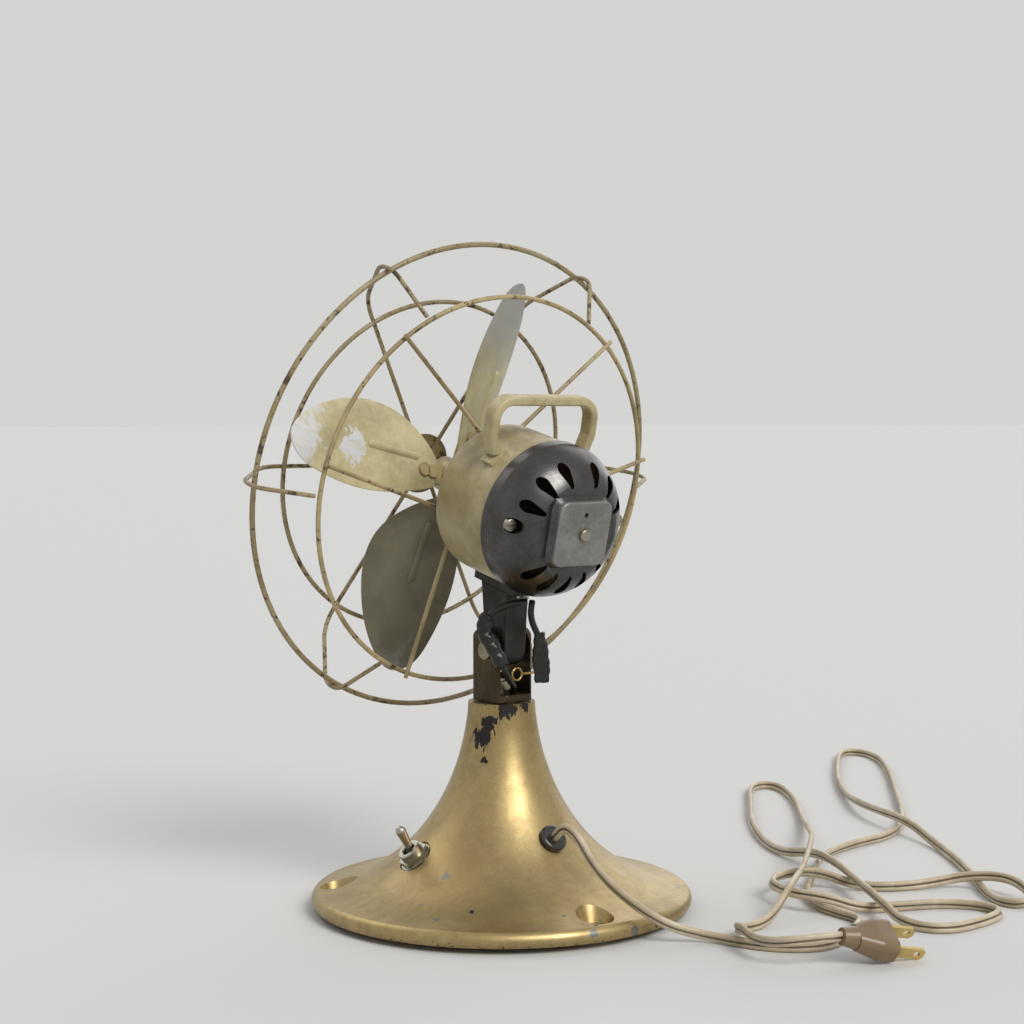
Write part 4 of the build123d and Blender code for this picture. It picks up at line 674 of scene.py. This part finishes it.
def curve_points(points: np.ndarray, resolution: int = 8) -> np.ndarray:
    """Points along the smooth NURBS curve (order 3) that a route's points control.

    Args:
        points: n by 3 control points.
        resolution: steps for each control point.
    Returns:
        m by 3 points read from the curve's own mesh.
    """
    data = bpy.data.curves.new("route", "CURVE")
    data.dimensions = "3D"
    data.resolution_u = resolution
    spline = data.splines.new("NURBS")
    spline.points.add(len(points) - 1)
    spline.points.foreach_set("co", np.c_[points, np.ones(len(points))].ravel())
    spline.order_u = 3
    spline.use_endpoint_u = True
    holder = bpy.data.objects.new("route", data)
    line = bpy.data.meshes.new_from_object(holder)
    found = np.zeros(len(line.vertices) * 3)
    line.vertices.foreach_get("co", found)
    bpy.data.objects.remove(holder)
    bpy.data.curves.remove(data)
    return found.reshape(-1, 3)


def swept_tube(name: str, path: np.ndarray, profile: np.ndarray, lean: np.ndarray,
               marks: dict[str, np.ndarray]) -> bpy.types.Object:
    """Carry a closed profile along a path and close both ends with a middle point.

    A point is path + u * upright + v * sideways, with (u, v) the profile's point.

    Args:
        name: the piece's name.
        path: n by 3 points.
        profile: k by 2 points, counter-clockwise seen from the path's start.
        lean: n angles that the profile turns by.
        marks: point attributes by name, each with k values round the profile.
    """
    upright, sideways = upright_frames(path, lean)
    points = (path[:, None, :] + profile[None, :, :1] * upright[:, None, :]
              + profile[None, :, 1:] * sideways[:, None, :]).reshape(-1, 3)
    count = len(profile)
    faces = grid_faces(len(path), count).tolist()
    points = np.vstack([points, path[:1], path[-1:]])
    low, high = len(points) - 2, len(points) - 1
    ring = np.arange(count)
    beside = (ring + 1) % count
    last = (len(path) - 1) * count
    faces += np.stack([np.full(count, low), beside, ring], axis=1).tolist()
    faces += np.stack([np.full(count, high), ring + last, beside + last], axis=1).tolist()
    piece = mesh_object(name, points, faces)
    for mark, values in marks.items():
        layer = piece.data.attributes.new(mark, "FLOAT", "POINT")
        layer.data.foreach_set("value", np.r_[np.tile(values, len(path)), 0.0, 0.0])
    return piece


def dress(material: bpy.types.Material, *nodes: str) -> None:
    """Give the objects of CAD nodes one material in all their slots."""
    for node in nodes:
        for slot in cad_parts[node].material_slots:
            slot.material = material


# ---------------------------------------------------------------- sub-assemblies
CORD_ROUTE: tuple[Point, ...] = (             # millimetres, from the grommet to the plug
    (0.46, 37.38, 37.93), (0.54, 43.77, 43.08), (0.5, 50.5, 49), (-1.5, 58, 44.5),
    (-3, 66.5, 33.5), (-4.5, 79.5, 24), (-8, 95, 16), (-17, 107.5, 8), (-34, 116, 2.7),
    (-41.5, 144.5, 2.7), (-59.5, 161, 2.7), (-82, 158, 2.7), (-100.5, 147.5, 2.7),
    (-115, 138.5, 2.7), (-115.5, 123.5, 2.7), (-117.5, 105, 2.7), (-137, 79.5, 2.7),
    (-168.5, 56, 2.7), (-203.5, 27.5, 2.7), (-241.5, 16.5, 2.7), (-278, 15, 2.7),
    (-318.5, -10.5, 2.7), (-360, -50.5, 2.7), (-408.5, -99, 2.7), (-451, -142, 2.7),
    (-474, -169.5, 2.7), (-484.5, -191.5, 2.7), (-477, -204, 2.7), (-459, -194, 2.7),
    (-430, -168.5, 2.7), (-394, -136, 2.7), (-353, -91.5, 2.7), (-319, -47, 7), (-303, -16.5, 9),
    (-293, 14, 9), (-279, 46, 2.7), (-256, 80, 2.7), (-229.5, 114, 2.7), (-207, 139, 2.7),
    (-197.5, 155, 2.7), (-199, 166, 2.7), (-209, 168, 4), (-217, 157, 7), (-221, 141, 9.2),
    (-215, 121.5, 7), (-197, 108.5, 2.7), (-175, 100.5, 2.7), (-164.5, 87, 3), (-154.5, 72, 9),
    (-139, 64.5, 9), (-116.5, 72, 9), (-107, 95.5, 9), (-115, 114.5, 9), (-129, 124, 3),
    (-150.5, 132, 2.7), (-171.5, 141, 2.7), (-184, 157.5, 2.7), (-180.5, 172, 2.7),
    (-158, 177.5, 2.7), (-131, 176.5, 2.7), (-123.5, 156.5, 2.7), (-131, 136, 9),
    (-151.5, 103.5, 9), (-173.5, 70, 9), (-188.5, 38.5, 9), (-192, 8, 2.7), (-210, -26, 2.7),
    (-246.5, -71, 2.7), (-285.5, -109, 2.7), (-312, -136.5, 2.7), (-328.5, -148, 2.7),
    (-339, -142, 2.7), (-330.5, -122, 2.7), (-308, -91.5, 2.7), (-270.5, -49.5, 2.7),
    (-232.5, -8, 8), (-197, 27.5, 15), (-166, 54, 15), (-131, 82.5, 15), (-103.5, 101.5, 15),
    (-76.5, 113.5, 2.7), (-55, 115, 2.7), (-45.5, 121.5, 6.2), (-38.5, 133, 9.4),
    (-29.5, 149.5, 9.2), (-27, 165, 11), (-36.5, 178, 13.9), (-51.5, 182.6, 13.6),
)


@dataclass
class MainsCord:
    """Beige cord of two cores moulded side by side, on its edge on the table, and its plug."""

    width: float = 0.0052
    core: float = 0.0014              # radius of each core
    offset: float = 0.0012            # each core's middle from the cord's
    length: float = 2.48
    exit_point: Point = (0.0005, 0.0405, 0.0404)
    lean: float = 0.42                # most that its section leans, in radians
    lean_every: float = 0.047         # length over which the lean's angle grows by 1 rad
    vinyl: Vinyl = Vinyl("cord_vinyl")
    plug: Moulded = Moulded(
        "plug_rubber", rgb(134, 110, 80), rgb(116, 94, 68), 0.34, 900.0, 0.00005, 0.2, 0.15)
    brass: BareMetal = BareMetal(
        "plug_brass", rgb(216, 192, 130), rgb(140, 112, 62), 0.4, 0.3, (1.0, 1.0, 6.0))

    def profile(self, steps: int = 40) -> tuple[np.ndarray, np.ndarray]:
        """Section of the cord: the outline of two circles side by side.

        Its radius at angle t is offset * |cos t| + sqrt(core^2 - (offset * sin t)^2), and
        the strength of the painted shade is how near t is to the waist, |sin t| to the power 8.

        Returns:
            The k by 2 section and k values for the painted shade at the waist.
        """
        turn = np.linspace(0.0, 2.0 * np.pi, steps, endpoint=False)
        reach = (self.offset * np.abs(np.cos(turn))
                 + np.sqrt(self.core ** 2 - (self.offset * np.sin(turn)) ** 2))
        section = np.stack([reach * np.cos(turn), reach * np.sin(turn)], axis=1)
        return section, np.abs(np.sin(turn)) ** 8

    def build(self) -> None:
        """Make the cord along its route, and dress the plug and its blades.

        At length s the section leans by lean * sin(s / lean_every).
        """
        path = curve_points(np.array(CORD_ROUTE) / 1000.0)
        steps = np.linalg.norm(np.diff(path, axis=0), axis=1)
        lean = self.lean * np.sin(np.r_[0.0, np.cumsum(steps)] / self.lean_every)
        # the waist values become a point attribute that the vinyl darkens as painted shade
        section, groove_shade = self.profile()
        cord = swept_tube("mains_cord", path, section, lean, {"groove_shade": groove_shade})
        cord.data.materials.append(self.vinyl.build())
        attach(cord, "base")
        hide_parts("power_cord")
        dress(self.plug.build(), "plug_body")
        dress(self.brass.build(), "plug_blades")
        LOG.info("mains cord: %d faces", len(cord.data.polygons))


@dataclass
class Base:
    """Gold trumpet base with its switch, grommet, felt pad and bottom plate."""

    gold: GoldPaint = GoldPaint(
        "base_gold", rgb(186, 164, 116), rgb(158, 136, 92), rgb(38, 36, 35), 0.34, 0.06,
        lost_patches=(((0.0149, 0.0091, 0.0950), 0.0060), ((0.0177, 0.0063, 0.0885), 0.0070),
                      ((0.0186, 0.0104, 0.0775), 0.0022), ((0.0085, 0.0150, 0.1030), 0.0060),
                      ((-0.0020, 0.0168, 0.1035), 0.0040), ((0.0140, 0.0905, 0.0085), 0.0022),
                      ((0.0556, 0.0491, 0.0150), 0.0016)),
        primer_patches=(((0.0504, 0.0214, 0.0263), 0.0028), ((0.0500, 0.0240, 0.0285), 0.0019),
                        ((0.0712, 0.0419, 0.0122), 0.0020), ((0.0219, 0.0760, 0.0132), 0.0012),
                        ((0.0185, 0.0937, 0.0078), 0.0025), ((-0.0048, 0.0954, 0.0063), 0.0031),
                        ((0.0407, 0.0858, 0.0102), 0.0017), ((0.0683, 0.0250, 0.0156), 0.0011),
                        ((-0.0660, 0.0600, 0.0110), 0.0025), ((-0.0300, -0.0550, 0.0180), 0.0022),
                        ((0.0200, -0.0760, 0.0125), 0.0019)))
    nickel: BareMetal = BareMetal(
        "switch_nickel", rgb(188, 184, 172), rgb(92, 82, 62), 0.5, 0.24)
    phenolic: Moulded = Moulded(
        "switch_phenolic", rgb(38, 30, 26), rgb(50, 40, 34), 0.35)
    rubber: Moulded = Moulded(
        "grommet_rubber", rgb(24, 23, 22), rgb(34, 32, 30), 0.22, 500.0, 0.00008, 0.1, 0.5)
    steel: BareMetal = BareMetal(
        "plate_steel", rgb(132, 130, 126), rgb(84, 72, 56), 0.5, 0.42, (1.0, 8.0, 1.0))
    felt: Felt = Felt("base_felt")
    screws: BareMetal = BareMetal(
        "screw_steel", rgb(150, 146, 136), rgb(74, 62, 48), 0.5, 0.32)

    def build(self) -> None:
        """Dress the base's nodes."""
        dress(self.gold.build(), "base_casting")
        dress(self.nickel.build(), "switch_bushing", "switch_washer", "switch_nut",
              "switch_lever")
        dress(self.phenolic.build(), "switch_body")
        dress(self.rubber.build(), "cord_grommet", "base_harness")
        dress(self.steel.build(), "bottom_plate")
        dress(self.felt.build(), "felt_pad")
        dress(self.screws.build(), "plate_screws")
        LOG.info("base dressed")


@dataclass
class Yoke:
    """Swivel bracket in darkened gold, with its bolt, washers, pin and clip."""

    gold: GoldPaint = GoldPaint(
        "yoke_gold", rgb(104, 90, 62), rgb(66, 58, 44), rgb(40, 38, 35), 0.75, 0.2,
        neck_height=0.5, rim_height=0.109, roughness=0.4)
    steel: BareMetal = BareMetal(
        "bolt_steel", rgb(168, 158, 136), rgb(80, 66, 46), 0.5, 0.32)
    brass: BareMetal = BareMetal(
        "clip_brass", rgb(186, 158, 96), rgb(96, 74, 40), 0.4, 0.3)

    def build(self) -> None:
        """Dress the yoke's nodes."""
        dress(self.gold.build(), "yoke_bracket")
        dress(self.steel.build(), "swivel_bolt", "swivel_washers", "swivel_nut", "tilt_pin")
        dress(self.brass.build(), "pin_clip")
        LOG.info("yoke dressed")


@dataclass
class Motor:
    """Tilting motor: cream drum and handle, bare dome, square plate, arm and inner parts."""

    cream: CreamPaint = CreamPaint(
        "drum_cream", rgb(188, 177, 136), rgb(158, 143, 100), dirt=0.55, seam=-0.030)
    handle: CreamPaint = CreamPaint(
        "handle_cream", rgb(192, 180, 138), rgb(164, 148, 104), chips=0.16, dirt=0.5)
    dome: BareMetal = BareMetal(
        "dome_steel", rgb(92, 91, 90), rgb(46, 42, 38), 0.5, 0.25, (1.0, 1.0, 7.0), 260.0)
    plate: BareMetal = BareMetal(
        "plate_grey", rgb(146, 146, 143), rgb(96, 93, 86), 0.6, 0.44, (7.0, 1.0, 1.0), 300.0,
        0.75)
    cast: BareMetal = BareMetal(
        "arm_cast", rgb(62, 61, 58), rgb(38, 33, 27), 0.55, 0.42, (1.0, 1.0, 1.0), 420.0, 0.6)
    screws: BareMetal = BareMetal(
        "motor_screws", rgb(170, 164, 150), rgb(84, 72, 54), 0.45, 0.3)
    iron: BareMetal = BareMetal(
        "laminations", rgb(58, 55, 52), rgb(40, 32, 25), 0.5, 0.5, (1.0, 14.0, 1.0), 300.0)
    # coils near black: dark varnish, darkened further as painted shade inside the motor behind
    # the vents
    copper: BareMetal = BareMetal(
        "coil_varnish_shaded", rgb(70, 40, 24), rgb(34, 24, 17), 0.5, 0.4, (1.0, 9.0, 9.0), 420.0, 0.6)
    bronze: BareMetal = BareMetal(
        "bush_bronze", rgb(170, 132, 80), rgb(84, 62, 38), 0.4, 0.32)

    def build(self) -> None:
        """Dress the motor's nodes."""
        dress(self.cream.build(), "front_housing")
        dress(self.handle.build(), "carry_handle")
        dress(self.dome.build(), "rear_cover")
        dress(self.plate.build(), "rear_plate")
        dress(self.cast.build(), "tilt_arm", "saddle_plate")
        dress(self.screws.build(), "saddle_screws", "cover_screws")
        dress(self.iron.build(), "stator_core", "rotor_core")
        dress(self.copper.build(), "stator_coils")
        dress(self.bronze.build(), "shaft_bearings")
        LOG.info("motor dressed")


@dataclass
class Leads:
    """Black wires and crumpled tape that run between the motor and the yoke."""

    bend_start: Point = (0.0, 0.0, 0.158)
    bend_end: Point = (0.0, 0.0, 0.123)
    crumple: float = 0.00035          # height of the tape's creases
    creases: tuple[Point, Point] = ((520.0, -310.0, 900.0), (-400.0, 650.0, 420.0))
    fold: float = math.radians(50.0)  # edges sharper than this stay sharp
    black: Moulded = Moulded(
        "lead_black", rgb(7, 7, 7), rgb(13, 13, 12), 0.3, 260.0, 0.0005, 0.03)

    def crumpled(self, mesh: bpy.types.Mesh, height: float) -> None:
        """Push each point along its normal by height * sin(p . a) * sin(p . b).

        The two creases are a and b, in radians for each metre.

        Args:
            mesh: a merged mesh, changed in place.
            height: the most that a point moves, in metres.
        """
        points, normals = np.zeros((2, len(mesh.vertices), 3))
        mesh.vertices.foreach_get("co", points.ravel())
        mesh.vertices.foreach_get("normal", normals.ravel())
        first, second = (np.sin(points @ np.array(crease)) for crease in self.creases)
        points += normals * (height * first * second)[:, None]
        mesh.vertices.foreach_set("co", points.ravel())
        mesh.update()

    def copy_of(self, node: str, name: str, cuts: int) -> bpy.types.Object:
        """A merged and finer copy of a CAD node's mesh, which stands for the node.

        Args:
            node: the CAD node.
            name: the new piece's name.
            cuts: new points on each edge.
        """
        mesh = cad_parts[node].data.copy()
        mesh.materials.clear()
        work = bmesh.new()
        work.from_mesh(mesh)
        bmesh.ops.remove_doubles(work, verts=work.verts, dist=1e-6)
        if cuts:
            bmesh.ops.subdivide_edges(work, edges=work.edges, cuts=cuts, use_grid_fill=True)
        work.to_mesh(mesh)
        work.free()
        mesh.polygons.foreach_set("use_smooth", np.full(len(mesh.polygons), True))
        mesh.set_sharp_from_angle(angle=self.fold)
        piece = add_object(name, mesh)
        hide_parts(node)
        return piece

    def build(self) -> None:
        """Make both pieces, crumple the tape and give both the black finish."""
        black = self.black.build()
        for node, name, cuts, height in (("motor_leads", "motor_lead_wires", 0, 0.0),
                                         ("lead_wraps", "lead_tape", 2, self.crumple)):
            piece = self.copy_of(node, name, cuts)
            self.crumpled(piece.data, height)
            piece.data.materials.append(black)
            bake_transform(piece)
        LOG.info("leads made")


@dataclass
class Rotor:
    """Four worn blades on their hub, and the shaft that carries them."""

    shaft: BareMetal = BareMetal(
        "shaft_steel", rgb(168, 164, 158), rgb(90, 80, 66), 0.35, 0.24)
    hub: CreamPaint = CreamPaint(
        "hub_cream", rgb(186, 170, 122), rgb(140, 124, 82), dirt=0.75, chips=0.3)
    # The four copies differ by light: blade_left_lit's paint and bare metal are made lighter as
    # painted light, blade_low_shaded's darker as painted shade, and blade_top and blade_far lie
    # between.
    blades: tuple[BladePaint, ...] = (
        BladePaint("blade_top", rgb(196, 186, 144), rgb(168, 158, 118), rgb(160, 161, 158),
                   0.050, 0.094, (0.0, -0.05, 0.29), 0.004),
        BladePaint("blade_left_lit", rgb(212, 200, 158), rgb(190, 177, 132), rgb(226, 226, 226),
                   0.088, 0.096, (0.066, -0.040, 0.232), 0.016),
        BladePaint("blade_low_shaded", rgb(124, 118, 94), rgb(96, 92, 74), rgb(134, 133, 126),
                   0.090, 0.108, (0.02, -0.05, 0.13), 0.003),
        BladePaint("blade_far", rgb(176, 164, 122), rgb(146, 136, 98), rgb(170, 168, 160),
                   0.086, 0.100, (-0.06, -0.04, 0.19), 0.004),
    )

    def build(self) -> None:
        """Dress the rotor's nodes."""
        for number, finish in enumerate(self.blades, start=1):
            dress(finish.build(), f"blade_{number}")
        dress(self.hub.build(), "blade_hub", "blade_rivets")
        dress(self.shaft.build(), "motor_shaft", "shaft_collars", "hub_set_screw")
        LOG.info("rotor dressed")


@dataclass
class Guard:
    """Wire guard of three rings, six front wires, three rear supports and a front disc."""

    near: WirePaint = WirePaint("guard_paint")
    dark: WirePaint = WirePaint(
        "guard_worn", rgb(158, 146, 112), bare=0.455)
    screws: BareMetal = BareMetal(
        "support_steel", rgb(140, 134, 120), rgb(70, 58, 42), 0.5, 0.34)

    def build(self) -> None:
        """Dress the guard's nodes."""
        wires = [f"guard_wire_{number}" for number in range(1, 7)]
        supports = [f"guard_support_{number}" for number in range(1, 4)]
        dress(self.near.build(), "guard_rear_ring", "guard_front_disc", "guard_backing",
              *supports)
        dress(self.dark.build(), "guard_outer_ring", "guard_front_ring", *wires)
        dress(self.screws.build(), "support_screws")
        LOG.info("guard dressed")


# ---------------------------------------------------------------- studio
def direction(heading: float, height: float) -> Vector:
    """Unit vector (sin h * cos e, cos h * cos e, sin e) for angles in degrees.

    Args:
        heading: h, from +Y towards +X.
        height: e, above the floor.
    """
    turn, rise = math.radians(heading), math.radians(height)
    return Vector((math.sin(turn) * math.cos(rise), math.cos(turn) * math.cos(rise),
                   math.sin(rise)))


@dataclass(frozen=True)
class Sun:
    """One far lamp with a wide soft disc, given by where it stands in the sky."""

    name: str
    heading: float            # degrees from +Y towards +X that the light comes from
    height: float             # degrees above the floor
    strength: float
    spread: float             # degrees across its disc
    colour: Colour = (1.0, 1.0, 1.0)

    def build(self) -> None:
        """Add the lamp and turn it towards the origin."""
        data = bpy.data.lights.new(self.name, "SUN")
        data.energy = self.strength
        data.angle = math.radians(self.spread)
        data.color = self.colour
        source = direction(self.heading, self.height)
        add_object(self.name, data).rotation_euler = source.to_track_quat("Z", "Y").to_euler()


@dataclass(frozen=True)
class Studio:
    """Pale floor that meets a backdrop of its own tone, soft lamps and the camera."""

    camera_place: Point = (0.61394, 0.79080, 0.24583)
    heading: float = -141.877         # degrees from +Y towards +X that the camera looks
    pitch: float = -2.654
    lens: float = 70.3125
    floor_side: float = 60.0
    floor_colour: Colour = rgb(216, 216, 214)
    backdrop: Colour = rgb(212, 212, 210)
    sky: float = 0.40                 # even light from all round
    suns: tuple[Sun, ...] = (
        Sun("key", 2.0, 40.0, 1.90, 30.0, (1.0, 0.99, 0.965)),
        Sun("fill", -118.0, 30.0, 0.50, 50.0, (0.97, 0.985, 1.0)),
        Sun("back", 165.0, 48.0, 0.45, 40.0),
    )

    def camera(self) -> None:
        """Add the camera at its measured place, level from side to side."""
        data = bpy.data.cameras.new("camera")
        data.lens = self.lens
        data.sensor_width = 36.0
        data.clip_start = 0.05
        camera = add_object("camera", data)
        look = direction(self.heading, self.pitch)
        right = look.cross(Vector((0.0, 0.0, 1.0))).normalized()
        up = right.cross(look)
        turn = Matrix((right, up, -look)).transposed().to_4x4()
        camera.matrix_world = Matrix.Translation(self.camera_place) @ turn
        bpy.context.scene.camera = camera

    def floor(self) -> None:
        """A pale matt floor that runs to the horizon."""
        side = self.floor_side
        corners = np.array([(-side, -side, 0.0), (side, -side, 0.0), (side, side, 0.0),
                            (-side, side, 0.0)])
        floor = mesh_object("floor", corners, [[0, 1, 2, 3]], smooth=False)
        material, _, shader = start_material("floor_pale")
        shader.inputs["Base Color"].default_value = (*self.floor_colour, 1.0)
        shader.inputs["Roughness"].default_value = 0.9
        shader.inputs["Specular IOR Level"].default_value = 0.1
        floor.data.materials.append(material)

    def world(self) -> None:
        """Even soft light on the object; the backdrop's tone where it is seen or mirrored."""
        world = bpy.data.worlds.new("studio")
        bpy.context.scene.world = world
        world.use_nodes = True
        tree = world.node_tree
        light = tree.nodes["Background"]
        light.inputs["Color"].default_value = (self.sky, self.sky, self.sky * 1.03, 1.0)
        seen = tree.nodes.new("ShaderNodeBackground")
        seen.inputs["Color"].default_value = (*self.backdrop, 1.0)
        path = tree.nodes.new("ShaderNodeLightPath")
        share = path.outputs["Is Camera Ray"]
        for ray in ("Is Glossy Ray", "Is Transmission Ray"):
            either = tree.nodes.new("ShaderNodeMath")
            either.operation = "MAXIMUM"
            tree.links.new(share, either.inputs[0])
            tree.links.new(path.outputs[ray], either.inputs[1])
            share = either.outputs[0]
        mix = tree.nodes.new("ShaderNodeMixShader")
        tree.links.new(share, mix.inputs[0])
        tree.links.new(light.outputs[0], mix.inputs[1])
        tree.links.new(seen.outputs[0], mix.inputs[2])
        tree.links.new(mix.outputs[0], tree.nodes["World Output"].inputs[0])

    def build(self) -> None:
        """Set up the whole studio."""
        bpy.context.scene.view_settings.view_transform = "Standard"
        self.camera()
        self.floor()
        self.world()
        for sun in self.suns:
            sun.build()


def main() -> None:
    """Build the studio and every sub-assembly, in order."""
    logging.basicConfig(level=logging.INFO, format="%(name)s: %(message)s")
    Studio().build()
    for assembly in (Base(), Yoke(), Motor(), Leads(), Rotor(), Guard(), MainsCord()):
        assembly.build()


if __name__ == "__main__":
    main()
